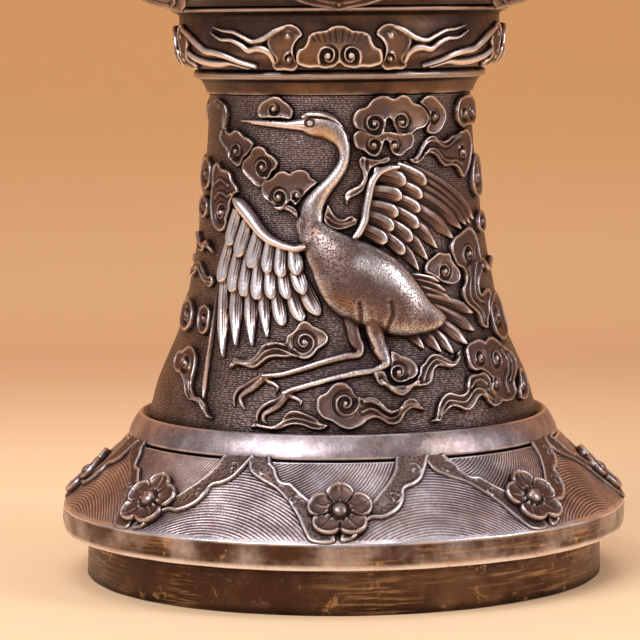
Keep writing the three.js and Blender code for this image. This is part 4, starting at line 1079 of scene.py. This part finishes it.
clouds(
    "cloud_leg",
    [[(-11.7, 52.2), (-11.4, 53.3), (-10.4, 54), (-9.5, 54.8), (-8.9, 55.8), (-8, 56.4), (-6.8, 56.3),
      (-5.8, 55.5), (-4.7, 55), (-3.4, 54.3), (-2.7, 53.2), (-2.9, 52), (-3.9, 51.2), (-4.9, 50.5), (-5.6, 49.6),
      (-6.7, 48.8), (-8, 48.6), (-9.2, 48.9), (-10.5, 49), (-12.5, 48.9), (-14, 48.9), (-15.6, 48.5),
      (-17, 47.6), (-18.2, 46.8), (-19.5, 46.6), (-21, 46.8), (-23, 47), (-25, 46.4), (-24.4, 47.6), (-23.9, 48.5),
      (-22, 48.4), (-20.3, 48.4), (-19, 48.9), (-17.8, 50), (-16.9, 51.2), (-15.7, 52), (-14, 52.3), (-12.5, 52)]],
    [((-7.7, 52.1), 2.45, 215, 500)],
    [[(-23.5, 47.7), (-21, 47.5), (-19.5, 47.6), (-18, 48.3), (-16.5, 49.7), (-15, 50.5), (-13, 50.6),
      (-11.3, 50), (-9.5, 49.3)],
     [(-15.5, 51.2), (-13.8, 51.6), (-12, 51.3)]],
)
clouds(
    "cloud_toe",
    [
        [(-5.4, 40), (-5.2, 41.2), (-4.4, 42), (-3.4, 42.4), (-2.6, 43.3), (-1.7, 44.1), (-0.4, 44.4), (0.8, 44.2),
         (1.7, 43.4), (2.4, 42.4), (3.2, 41.6), (4.2, 41.4), (5.6, 41.6), (7, 41.2), (8.2, 40.3), (9.5, 39.2),
         (10.8, 39), (11.9, 39.7), (13, 40.7), (14.3, 41), (15.4, 40.6), (16.4, 39.4), (17.3, 38.3), (15.6, 38.7),
         (14, 38.8), (13.1, 38.2), (12.3, 37), (11.5, 36.1), (10.4, 35.8), (9.2, 36), (8, 36.8), (6.6, 37.3),
         (5.2, 36.9), (4, 36), (2.6, 35.3), (1.2, 35), (0, 35.3), (-1.2, 36), (-2.5, 36.8), (-3.8, 37.2),
         (-4.9, 38.2), (-5.4, 39.1)],
        [(-2.8, 36), (-4, 36.6), (-5.5, 37.6), (-7.5, 38.5), (-9, 39), (-10.3, 39), (-11.4, 38.5), (-12.3, 37.5),
         (-13.3, 36.4), (-14.6, 35.9), (-16.3, 36), (-18.2, 36.3), (-19.6, 35.2), (-17.5, 35.1), (-16, 34.8),
         (-14.3, 34.7), (-12.7, 35), (-11.3, 35.7), (-9.7, 36), (-8, 35.8), (-6.8, 35.3), (-5.3, 35), (-3.8, 35.2)],
    ],
    [((0.6, 40.3), 2.7, 20, -520, 0.6)],
    [[(4, 38.6), (5.6, 39.2), (7, 38.8), (8.4, 37.8), (9.8, 37.2), (11.2, 37.7), (12.3, 39), (13.8, 39.8),
      (15.5, 39.6)],
     [(4.4, 40.5), (5.8, 40.6), (7.2, 39.9), (8.6, 38.8), (10, 38.2), (11.2, 38.7)],
     [(-17.8, 35.7), (-16, 35.4), (-14.3, 35.3), (-12.9, 35.9), (-11.6, 36.8), (-10, 37.3), (-8, 37.1),
      (-6, 36.5), (-4.3, 36)]],
)
clouds(
    "cloud_belly",
    [
        [(9.9, 50.3), (11, 49.9), (12.2, 49.3), (13.8, 48.7), (15, 47.8), (15.7, 46.9), (15.9, 45.9), (15.4, 45),
         (14.2, 44.3), (12.5, 43.9), (10.8, 44.2), (9.7, 45.2), (9.6, 46.5), (9.9, 48), (9.8, 49.2)],
        [(6.2, 46), (6.7, 44.8), (7.5, 43.7), (8.8, 43.2), (9.7, 42.4), (11, 41.7), (12.6, 41.4), (13.8, 42),
         (14.8, 42.8), (16.3, 43), (17.8, 43.1), (18.9, 43.8), (19.3, 45), (19.6, 46), (20.6, 46.6), (22, 46.4),
         (23.5, 46), (25, 46.2), (26, 46.9), (26.5, 48.3), (26.3, 49.5), (25.6, 49), (25.3, 48.1), (24.6, 47.6),
         (23.5, 47.8), (22.2, 48.4), (20.8, 49), (19.5, 49.2), (18.2, 48.7), (17.2, 47.6), (16.3, 47),
         (15.9, 45.4), (14.6, 44), (12.3, 43.5), (10.2, 43.8), (9.2, 44.9), (8.6, 46.3)],
    ],
    [((11.6, 45.9), 2.2, 330, -460)],
    [[(17.1, 44.2), (17.7, 45.8), (18.6, 47.1), (19.9, 47.9), (21.5, 47.5), (23.3, 46.8), (24.8, 46.8),
      (25.9, 48)],
     [(8, 44.6), (9.4, 43.4), (11, 42.6), (12.6, 42.4), (14, 43.2), (16, 44)]],
)
clouds(
    "cloud_hem",
    [
        [(28.1, 49.6), (28.7, 50.4), (29.8, 50.8), (30.9, 51), (32.1, 51.2), (33.5, 50.9), (34.6, 50.5),
         (35.8, 51.1), (37.6, 51.2), (39.6, 50.4), (41.3, 49.4), (43.6, 48.5), (46, 47.3), (47.7, 45.8),
         (47.4, 44.2), (45.7, 42.7), (44.1, 41.6), (44.4, 39.9), (43.2, 38.7), (40.1, 38.1), (38.3, 38.4),
         (37.2, 39.4), (35.6, 40.2), (34.3, 41), (34.4, 42), (35.2, 42.8), (34.5, 43.6), (33.5, 44.3), (32, 44.9),
         (30.4, 44.9), (29.1, 45.6), (28.5, 46.6), (28.2, 48)],
        [(33, 44.6), (31, 44.5), (29.5, 44.5), (28.4, 44.3), (27.9, 43.2), (27.7, 42), (27.1, 41.3), (25.8, 41),
         (24.5, 41.2), (23.2, 41.6), (22, 41.4), (21, 40.7), (20.3, 39.5), (19.9, 38), (19.4, 36.8), (18.2, 36.2),
         (19.3, 35.9), (20.6, 36), (21.4, 37), (22.3, 38), (23.5, 38.6), (25, 38.4), (26.5, 37.7), (28, 37.6),
         (29.3, 38.4), (30.3, 39.5), (31.5, 40.1), (32.8, 39.6), (34, 38.4), (35.3, 37.6), (37, 37.8),
         (38.6, 38.8), (37.4, 39.6), (35.9, 40.5), (35, 42), (34.4, 43.6)],
        [(39.1, 57.6), (41.2, 59.1), (43.7, 59.9), (46.4, 58.6), (47.9, 56.3), (48.4, 54), (48.2, 52), (46.9, 50.6),
         (44.7, 49.9), (41.8, 50.3), (39.9, 51.8), (39, 53.9), (38.6, 55.9)],
        [(47.6, 42.6), (49, 43.8), (50.8, 43.6), (52.4, 42), (52.2, 39.8), (50.4, 38), (48.2, 37.6), (46.2, 38.4),
         (46, 40), (47, 41.4)],
    ],
    [((32.4, 47.6), 1.7, 200, -400), ((38.2, 46.8), 1.9, 330, 400), ((36.6, 42.2), 1.5, 200, -400),
     ((42.9, 55), 2.7, 200, -460), ((49, 40.8), 1.9, 200, -400)],
    [[(20.6, 37.3), (21.5, 39), (22.7, 39.9), (24, 39.8), (25.5, 39.5), (27, 39.4), (28, 40), (28.9, 40.9),
      (30.2, 41.6), (31.8, 41.4), (33.3, 40.3), (35, 39.2)],
     [(28.8, 41.9), (30, 43), (32, 43.2), (33.6, 42.2)], [(41, 48.2), (43, 46.2), (42.4, 44), (40.4, 42), (40.8, 40)],
     [(43.8, 47), (45.2, 45.4), (44.2, 43.6), (42.4, 42.2)]],
)
clouds(
    "cloud_pinion",
    [
        [(-36, 49), (-37.5, 49.8), (-39.5, 49.6), (-41, 48.8), (-43, 48.5), (-44.5, 47.3), (-44.6, 45.6),
         (-43, 44.3), (-41, 44), (-39.5, 43.2), (-38.4, 42), (-37.7, 40.4), (-36.2, 39.4), (-34, 39.2),
         (-32.6, 38.6), (-31.4, 37.2), (-30, 36.2), (-29, 36.4), (-30.2, 37.6), (-31.2, 39.3), (-32.6, 40.3),
         (-34.4, 40.6), (-35.4, 41.4), (-35.8, 42.6), (-35.3, 44.5), (-35, 46.5), (-35.2, 48)],
        [(-39.2, 56.5), (-39.4, 54.5), (-41, 52.8), (-43.5, 52.3), (-46, 53), (-47.6, 55), (-47.4, 57.3),
         (-45.6, 58.8), (-43, 59), (-40.7, 58.3)],
        [(-31.8, 57.6), (-31.5, 55.6), (-32, 53.6), (-33.3, 52.4), (-35, 52.6), (-36.2, 54), (-36.4, 56),
         (-35.6, 57.8), (-33.6, 58.6)],
    ],
    [((-39.4, 46.4), 2.1, 330, 420), ((-43.4, 55.7), 2.4, 330, 420), ((-33.9, 55.7), 1.5, 330, 400)],
    [[(-36.8, 43), (-36.6, 41.2), (-34.8, 39.9), (-32.8, 39.4), (-31.4, 38.1), (-30, 36.7)]],
)
clouds(
    "cloud_wing",
    [
        [(-24.6, 81.4), (-23.4, 82), (-23.6, 83), (-24.4, 83.8), (-25.2, 84.5), (-26, 86), (-27.6, 86.6),
         (-29.3, 86.8), (-31, 88), (-32.6, 87), (-33.2, 85), (-33.1, 83), (-33.6, 80.5), (-33.5, 78),
         (-32.5, 75.5), (-30.8, 74), (-28.9, 73.6), (-27.4, 74.3), (-26.6, 76), (-26, 78), (-25.6, 80)],
        [(-34.5, 87), (-34.2, 85), (-34.8, 83), (-36.5, 82), (-39, 82), (-41, 83.2), (-42, 85.3), (-41, 87.5),
         (-39, 88.8), (-36.6, 88.6)],
        [(-35.2, 78.5), (-36, 76.6), (-38, 76), (-40, 76.6), (-41.2, 78.2), (-40.8, 79.9), (-39, 80.8),
         (-37, 80.6)],
        [(-32, 69.2), (-33.5, 71), (-35.2, 71.8), (-36.8, 71.2), (-38, 71), (-39.6, 72), (-41.4, 73.2),
         (-42.6, 72.8), (-41, 70.8), (-39, 69.2), (-37, 69.2), (-35.4, 70), (-33.8, 69.6)],
        [(-31, 63.6), (-32, 62.2), (-33.8, 62.3), (-35.6, 63.4), (-37.2, 64.8), (-39, 65.2), (-41, 64.2),
         (-43.4, 63.6), (-44, 64.8), (-42.4, 65.9), (-40.4, 66.8), (-38, 67), (-36, 65.8), (-34.6, 64.6),
         (-33, 64.3), (-31.8, 64.6)],
    ],
    [((-29.2, 77.6), 2.4, 330, 420), ((-37.9, 85.3), 2.0, 330, 420), ((-38.2, 78.4), 1.4, 330, 400)],
    [[(-31.8, 80.4), (-30.4, 81.6), (-28.6, 81.6), (-27, 81), (-25.6, 81.6)],
     [(-31.6, 83.6), (-30, 84.4), (-28.4, 84), (-26.8, 83.2)],
     [(-33, 70.2), (-35.2, 71), (-37, 70.2), (-39, 70.6), (-41.2, 72.2)],
     [(-32.4, 63.2), (-34.2, 63.4), (-36.4, 64.6), (-38.6, 66), (-41, 65.4), (-43, 64.8)]],
)


# Plum blossoms: eight five-petalled flowers, each petal cupped with a raised rim about a tall boss, soldered where
# the bands cross on the skirt.
def wall_along(profile):
    """A wall whose chart runs up the length of a profile of points [radius, height]."""
    points = np.array(profile, float)
    length = np.concatenate([[0], np.cumsum(np.hypot(*np.diff(points, axis=0).T))])

    def wall(up):
        return np.interp(up, length, points[:, 0]), np.interp(up, length, points[:, 1])

    return wall


SKIRT_ROUND = 53.3
SKIRT_FOOT = 15.1
skirt_wall = wall_along(outside(skirt_radius, SKIRT_FOOT, LEVEL["waist_band"], 120))
DEGREE_ROUND = SKIRT_ROUND * np.pi / 180


def on_skirt(points):
    """Chart places of points given as [degrees from the blossom's middle, height]."""
    return [(angle * DEGREE_ROUND, (height - SKIRT_FOOT) * SLOPE_STRETCH) for angle, height in points]


BLOSSOM_MIDDLE = (0.5, 7.9)
PETAL_ROUND = 3.2
PETAL_REACH = 3.5
BOSS_ACROSS, BOSS_ALONG = 1.55, 1.75
blossom = Relief(-7.2, 8.2, 0.6, 16.2, 0.13)
across, up = blossom.s - BLOSSOM_MIDDLE[0], blossom.z - BLOSSOM_MIDDLE[1]
from_middle, bearing = np.hypot(across, up), np.arctan2(up, across)
petals = np.stack([
    PETAL_ROUND - np.hypot(across - PETAL_REACH * math.cos(angle), up - PETAL_REACH * math.sin(angle))
    for angle in np.radians(90 + 72 * np.arange(5))
])
petals.sort(axis=0)
inside, beside = petals[-1], petals[-2]
edge = np.sqrt(np.clip(1 - (1 - np.clip(inside / 0.35, 0, 1)) ** 2, 0, 1)) * 1.25
cup = 0.5 * (1 - np.exp(-np.clip(inside - 0.7, 0, None) / 0.6))
seam = 0.5 * bell(inside - beside, 0.35) * np.clip(from_middle / 3, 0, 1)
vein = 0.16 * bell(np.sin(2.5 * (bearing - np.pi / 2)) * from_middle * 0.4, 0.22)
rim = 0.3 * bell(inside - 0.42, 0.26)
blossom.raise_to(EVERYWHERE, np.where(inside > 0, edge - cup - seam + vein + rim, inside * 6))
away = np.hypot(across / BOSS_ACROSS, up / BOSS_ALONG)
stamens = 0.35 * bell(from_middle - 2.4, 0.5) * (0.5 + 0.5 * np.cos(12 * bearing))
blossom.height += np.where(inside > 0.5, stamens - 0.25 * bell(away - 1.2, 0.2), 0)
blossom.raise_to(EVERYWHERE, np.where(away < 1, 0.8 + 1.25 * np.sqrt(np.clip(1 - away**2, 0, 1)), -1))
repeated(
    "plum_blossom_{}_chased", [blossom], skirt_wall, BLOSSOM_COUNT, cloud_bronze,
    "plum_blossom_{}", math.radians(BLOSSOM_TURN), SKIRT_ROUND,
)


# Skirt bands: from the waist two scalloped bands fall to each blossom and meet under it. They are chased up from
# the skirt's own metal and stippled.
LEFT_BAND = [
    (-17.2, 30.4), (-16.4, 29), (-14.9, 28), (-14.2, 27), (-12.9, 26), (-10.6, 25.7), (-9.2, 24.9), (-7.7, 24),
    (-5, 22.4), (-2, 19.5), (-0.5, 17.5), (-0.3, 15.6), (-5.2, 15.6), (-6.8, 17.5), (-8.5, 20), (-10.8, 22.2),
    (-14.5, 24.6), (-18.6, 26), (-21.8, 27.4), (-23, 30.4),
]
RIGHT_BAND = [
    (14.8, 30.4), (13.6, 28), (11.2, 25.6), (8.6, 23.6), (5, 20.6), (2, 18), (0.5, 16.4), (0.6, 15.6),
    (2.6, 15.7), (4.2, 16.6), (5.6, 18.2), (6.8, 19.2), (9.4, 19.3), (11.6, 20), (13.6, 21.2), (14.9, 22.8),
    (15.4, 24.2), (17.6, 24.8), (19.8, 25.8), (21.3, 27.2), (22.4, 28.4), (24, 30.4),
]
band = Relief(-22.5, 23.5, -0.4, 21.4, 0.21)
plate(band, on_skirt(LEFT_BAND), 0.5, 0.06, 0.8)
plate(band, on_skirt(RIGHT_BAND), 0.54, 0.06, 0.8)
for scallops in (LEFT_BAND[:10], RIGHT_BAND[9:]):
    line = curve(on_skirt(scallops), 0.3)
    place = band.window(line, 2)
    band.height[place] += 0.26 * bell(band.away(place, line) - 0.75, 0.42) * (band.height[place] > 0.25)
for middle, radius, start, turn in [
    ((-18, 27.6), 1.5, 60, 380), ((-9.4, 22.6), 1.1, 60, 380),
    ((18.8, 27.6), 1.5, 120, -380), ((12.6, 22.8), 1.4, 120, -380),
]:
    line = spiral(on_skirt([middle])[0], radius, start, turn, 0.2)
    place = band.window(line, 1)
    band.height[place] += 0.24 * bell(band.away(place, line), 0.24) * (band.height[place] > 0.3)


def stippled(tree):
    """Fine punch marks all over the bands but not on their rims."""
    return tree.punched(1500.0, 0.2) * (1 - tree.attribute("edge").step(0.0, 0.3))


band_metal = bronze(
    "skirt_band_bronze",
    [(0.03, 0.019, 0.018), (0.16, 0.11, 0.105), (0.76, 0.68, 0.69)],
    (0.48, 0.28),
    rub=(0.5, 0.44),
    pits=stippled,
)
repeated(
    "skirt_bands_{}", [band], skirt_wall, BLOSSOM_COUNT, band_metal, "skirt",
    math.radians(BLOSSOM_TURN), SKIRT_ROUND,
)


# Stem collar and lower knop: a bead over the stem's spigot and an upright drum between two beads. Four scrolled
# clouds with tails are soldered round the drum. The tails of one pair run high and those of the other low.
collar = turned(
    "stem_collar",
    [[28.1, 102.0], [28.5, 103.2], [29.3, 104.8], [29.9, 105.1], [30.6, 105.3], [30.95, 106.1], [30.6, 106.9],
     [30.0, 107.1], [30.3, 107.4]],
    [[25.2, 107.4], [25.2, 102.0]],
    wobble=0.05,
)
collar_bronze = bronze(
    "collar_bronze",
    [(0.022, 0.013, 0.011), (0.076, 0.046, 0.042), (0.46, 0.38, 0.375)],
    (0.48, 0.3),
    rub=(0.5, 0.38),
)
dress(collar, collar_bronze, "stem_collar")

KNOP_STATIONS = [
    [107.4, 31.2], [108.6, 32.4], [109.8, 33.4], [111.9, 33.9], [115, 33.9], [117.6, 33.8], [118.8, 33.9],
]


def knop_radius(height):
    return smooth(height, KNOP_STATIONS)


def knop_wall(up):
    return knop_radius(up), up


lower_knop = turned(
    "lower_knop",
    [*outside(knop_radius, 107.4, 118.4, 24), [34.4, 118.7], [35.5, 119.1], [35.8, 119.6], [35.5, 120.1],
     [34.8, 120.2]],
    [[30.6, 120.2], [30.6, 123.4], [27.7, 123.4], [27.7, 119], [30.6, 117], [30.4, 111], [28, 108.6], [25.2, 108.4],
     [25.2, 107.4]],
    radius=0.2,
)
dress(lower_knop, collar_bronze, "lower_knop")

KNOP_ROUND = 34.7 * np.pi / 180
RUYI = [
    (0, 109.2), (1.5, 108.5), (4.4, 108.1), (7.5, 108.4), (9.8, 108.3), (12.4, 108.6), (14.4, 109.2), (14.7, 110.4),
    (13.9, 111.5), (12, 112.1), (11, 113), (10.4, 114.1), (8.6, 114.9), (6.2, 115.2), (4.6, 115.3), (2.2, 116.1),
    (0, 116.3),
]
SIDE_CLOUD = [
    (13, 115.5), (16.4, 116.6), (20.6, 115.9), (23.6, 114.7), (25, 112.8), (23.6, 111), (22, 109.6), (23.6, 108.7),
    (22.6, 107.8), (19, 107.6), (15.2, 107.6), (13.6, 108.9), (15, 110.2), (15.4, 111.7), (13.8, 113.3),
    (12.2, 114.2),
]
HIGH_TAILS = [
    [(19, 115.8, 0.6), (21.8, 115.1, 0.85), (26.6, 113.5, 0.85), (30.4, 113, 0.7), (34.4, 113.9, 0.62),
     (38.6, 114.9, 0.58), (43, 115.2, 0.45), (48, 115.9, 0.2)],
    [(22.6, 109.2, 0.6), (23.8, 110.6, 0.8), (25.8, 111.4, 0.9), (28.8, 111.7, 0.9), (32.6, 111.4, 0.8),
     (35.4, 112.4, 0.7), (39.4, 113.3, 0.6), (44.6, 113.5, 0.45), (49.6, 114.9, 0.2)],
]
LOW_TAILS = [
    [(19, 115.4, 0.6), (26, 114, 0.85), (32, 112.4, 0.9), (36, 111.3, 0.85), (42, 110.8, 0.75), (48, 110, 0.65),
     (52, 109, 0.5), (55.6, 108.3, 0.2)],
    [(23, 111, 0.6), (29, 109.6, 0.8), (35, 108.9, 0.8), (41, 108.8, 0.7), (47, 109, 0.5), (52, 108.1, 0.2)],
]


def mirrored(half):
    """The whole outline of a shape from its right half, whose first point lies on the axis."""
    return half + [(-across, up) for across, up in half[:0:-1] if across]


def round_knop(points, way=1):
    """Chart places of points given as [degrees, height], turned over for the left where way is -1."""
    return [(way * angle * KNOP_ROUND, height) for angle, height in points]


def knop_unit(tails):
    """The relief of one cloud, the two smaller ones beside it and their tails. Rows of a tail are [degrees,
    height, half its width]."""
    unit = Relief(-34.5, 34.5, 107.0, 118.0, 0.14)
    plate(unit, round_knop(mirrored(RUYI)), 1.1, 0.25)
    for way in (1, -1):
        plate(unit, round_knop(SIDE_CLOUD, way), 0.75, 0.2)
        for tail in tails:
            unit.tube([(way * angle * KNOP_ROUND, level, half, 1.05) for angle, level, half in tail], worn=1.0)
        curl(unit, (way * 3.8 * KNOP_ROUND, 110.4), 1.95, 90 - way * 120, way * 400, 0.62)
        curl(unit, (way * 17.4 * KNOP_ROUND, 109.7), 1.0, 90, -way * 300, 0.55)
        dot(unit, way * 17.4 * KNOP_ROUND, 114.1, 0.8, 0.6)
        for angle in (1.2, 3.2, 5.2, 7.2, 9.2):
            carve(unit, round_knop([(angle * 0.85, 112.9), (angle * 1.05, 115.4 - angle * 0.12)], way), 0.12, 0.18)
    return unit


knop_cloud_bronze = bronze(
    "knop_cloud_bronze",
    [(0.028, 0.016, 0.013), (0.128, 0.08, 0.07), (0.79, 0.69, 0.67)],
    (0.46, 0.28),
    rub=(0.6, 0.38),
    wear_and_highlight_rub=lambda tree: tree.attribute("worn") * 0.1,
)
repeated(
    "knop_cloud_{}_chased", [knop_unit(HIGH_TAILS), knop_unit(LOW_TAILS)], knop_wall, 4,
    knop_cloud_bronze, "knop_cloud_{}",
)


# Body: a cup on the knop, a swelling drum and a rounded shoulder, each cast apart. Six scrolled lappets hang on
# the cup, eight clouds run round the drum and ten petals lie on the shoulder.
def arc_profile(low, high, radii, shares, count=40):
    """Profile points from height low to high through radii at shares of the way up."""
    stations = np.stack([low + (high - low) * np.array(shares, float), radii], -1)
    level = np.linspace(low, high, count)
    return np.stack([smooth(level, stations), level], -1).tolist()


cup_profile = arc_profile(120.2, 136, [36, 39.8, 44.3, 48.2, 50.9, 52], [0, 0.1, 0.28, 0.5, 0.75, 1])
cup = turned(
    "cup_shell",
    cup_profile,
    [[49.0, 136], [49.0, 139], [47.4, 139], [47.4, 136], [47.6, 132], [45, 128.6], [40.6, 125.2], [36, 124.2],
     [30.9, 124.2], [30.9, 120.2]],
    radius=0.2,
)
ring_bronze = bronze(
    "ring_bronze",
    [(0.03, 0.019, 0.018), (0.13, 0.088, 0.083), (0.60, 0.52, 0.52)],
    (0.5, 0.3),
    rub=(0.5, 0.42),
)
dress(cup, ring_bronze, "cup")

LAPPET_HALF = [(0, 0.4), (3, 1.8), (6.5, 3.2), (9.5, 5.2), (12, 8.6), (14, 13), (14.6, 18), (14.2, 22)]
lappet = Relief(-16, 16, -0.6, 23, 0.23)
plate(lappet, mirrored(LAPPET_HALF), 1.3, 0.3)
INNER_HALF = [(0, 3.4), (4, 4.8), (7, 7), (9.4, 10.4), (11, 14.4), (11.2, 18.4), (0, 19.6)]
for way in (1, -1):
    rib(lappet, [(way * across, up) for across, up in INNER_HALF], 0.35, 0.3)
    curl(lappet, (way * 3.6, 10.2), 2.6, 90 - way * 120, way * 430)
    curl(lappet, (way * 6.6, 15.6), 2.0, 90 - way * 120, way * 430)
repeated(
    "cup_lappet_{}", [lappet], wall_along(cup_profile), 6, cloud_bronze, "cup", round_radius=46.0
)

drum_profile = arc_profile(136, 158, [52, 53.9, 54.5, 53.9, 52], [0, 0.25, 0.5, 0.75, 1])
drum = turned(
    "body_drum",
    [*drum_profile[:-1], [52, 158]],
    [[49.0, 158], [49.0, 161], [47.4, 161], [47.4, 158], [51.3, 147], [49.3, 139.3], [49.3, 136]],
    radius=0.2,
)
dress(drum, ground_bronze, "body_drum")


DRUM_SCALE = 1.75
DRUM_ROUND = KNOP_ROUND * DRUM_SCALE * 0.93


def grown(points, way=1):
    """Knop ornament enlarged for the drum, with the middle of the knop on the middle of the drum."""
    return [(way * angle * DRUM_ROUND, (height - 112.5) * DRUM_SCALE + 11) for angle, height in points]


scroll = Relief(-21, 21, 1.2, 21, 0.25)
plate(scroll, grown(mirrored(RUYI)), 1.2, 0.3)
SHORT_TAIL = [
    (17, 110), (16.6, 108.8), (18.5, 108), (21.4, 108.6), (23.4, 110), (25.4, 111.4), (28, 112), (31.6, 111.8),
    (33, 112.6), (30.6, 113.6), (28, 114), (25.6, 115), (23, 116.2), (20, 117), (17.5, 117), (15, 116.3),
    (13.2, 115.4), (12.6, 114.4), (14.6, 113.3), (16.6, 112),
]
CURL_ROUND = KNOP_ROUND * 1.63
for way in (1, -1):
    plate(scroll, grown(SHORT_TAIL, way), 1.0, 0.3)
    curl(scroll, (way * 4.6 * CURL_ROUND, 7.5), 2.7, 90 - way * 120, way * 430)
    curl(scroll, (way * 19 * CURL_ROUND, 14.4), 2.0, 90, -way * 380)
repeated(
    "drum_cloud_{}", [scroll], wall_along(drum_profile), 8, cloud_bronze, "body_drum",
    round_radius=54.5,
)

shoulder_profile = arc_profile(158, 176, [52, 49.4, 44, 36.1, 32, 30.5], [0, 0.25, 0.5, 0.75, 0.9, 1])
shoulder = turned(
    "shoulder",
    shoulder_profile,
    [[27.5, 176], [27.5, 179], [25.9, 179], [25.9, 175], [30, 171.5], [40, 165], [46, 161.3], [49.3, 161.3],
     [49.3, 158]],
    radius=0.2,
)
dress(shoulder, ring_bronze, "shoulder")
PETAL_HALF = [(0, 3.4), (3.2, 4.2), (6.4, 6.6), (8, 10), (7.6, 14), (6.2, 18.4), (5.4, 21.6)]
petal = Relief(-10, 10, 2, 23, 0.25)
plate(petal, mirrored(PETAL_HALF), 1.0, 0.28)
rib(petal, [(0, 6), (0, 20)], 0.3, 0.3)
for way in (1, -1):
    curl(petal, (way * 3.6, 8.8), 1.8, 90 - way * 120, way * 400)
repeated("shoulder_petal_{}", [petal], wall_along(shoulder_profile), 10, cloud_bronze, "shoulder")


# Upper knop, neck and lip: a drum between two beads, the long trumpet with eight leaves rising from its foot, and
# a rolled lip that stiffens the mouth.
neck_knop = turned(
    "neck_knop",
    [[31, 176], [31.8, 176.4], [32.2, 177.2], [31.6, 178], [32.6, 178.6], [33.1, 180], [33.2, 182], [33, 184],
     [32.2, 185], [31.6, 185.3], [32, 186], [31.4, 186.7], [30.4, 187]],
    [[23.2, 187], [23.2, 190], [21.8, 190], [21.8, 186.8], [27.8, 184], [27.8, 179.3], [27.8, 176]],
    wobble=0.04,
)
dress(neck_knop, collar_bronze, "neck_knop")
neck_profile = arc_profile(
    187, 296, [27.9, 25.6, 25, 26.5, 29.6, 34.6, 42.4, 54], [0, 0.06, 0.16, 0.4, 0.6, 0.75, 0.88, 1], 160
)
inner_neck = [[radius - WALL, height] for radius, height in neck_profile[-4:6:-4]]
neck = turned(
    "neck",
    neck_profile,
    [[52.6, 296], [52.6, 299], [49.6, 298], *inner_neck, [23.4, 190.3], [23.4, 187]],
    radius=0.2,
    columns=224,
)
dress(neck, ground_bronze, "neck")
LEAF_HALF = [(0, 46), (1.6, 41), (4.4, 35), (6.8, 27), (8, 18), (8.4, 9), (8.6, 1.2)]
leaf = Relief(-10, 10, 0.2, 48, 0.28)
plate(leaf, mirrored(LEAF_HALF), 1.0, 0.3)
rib(leaf, [(0, 42), (0, 16)], 0.35, 0.35)
for way in (1, -1):
    rib(leaf, [(way * 5.6, 2), (way * 5.4, 12), (way * 4.6, 22), (way * 2.6, 32), (0, 40)], 0.3, 0.3)
    curl(leaf, (way * 2.9, 8.4), 2.2, 90 - way * 120, way * 430)
repeated(
    "neck_leaf_{}", [leaf], wall_along(neck_profile), 8, cloud_bronze, "neck", round_radius=26.5
)
lip = turned(
    "lip",
    [[54.4, 296], [56.6, 296.3], [57.7, 297.2], [58, 298.2], [57.6, 299.2], [56.4, 299.9], [55.4, 300]],
    [[50.1, 300], [49.7, 298.6], [49.7, 296]],
    wobble=0.04,
)
dress(lip, collar_bronze, "lip")
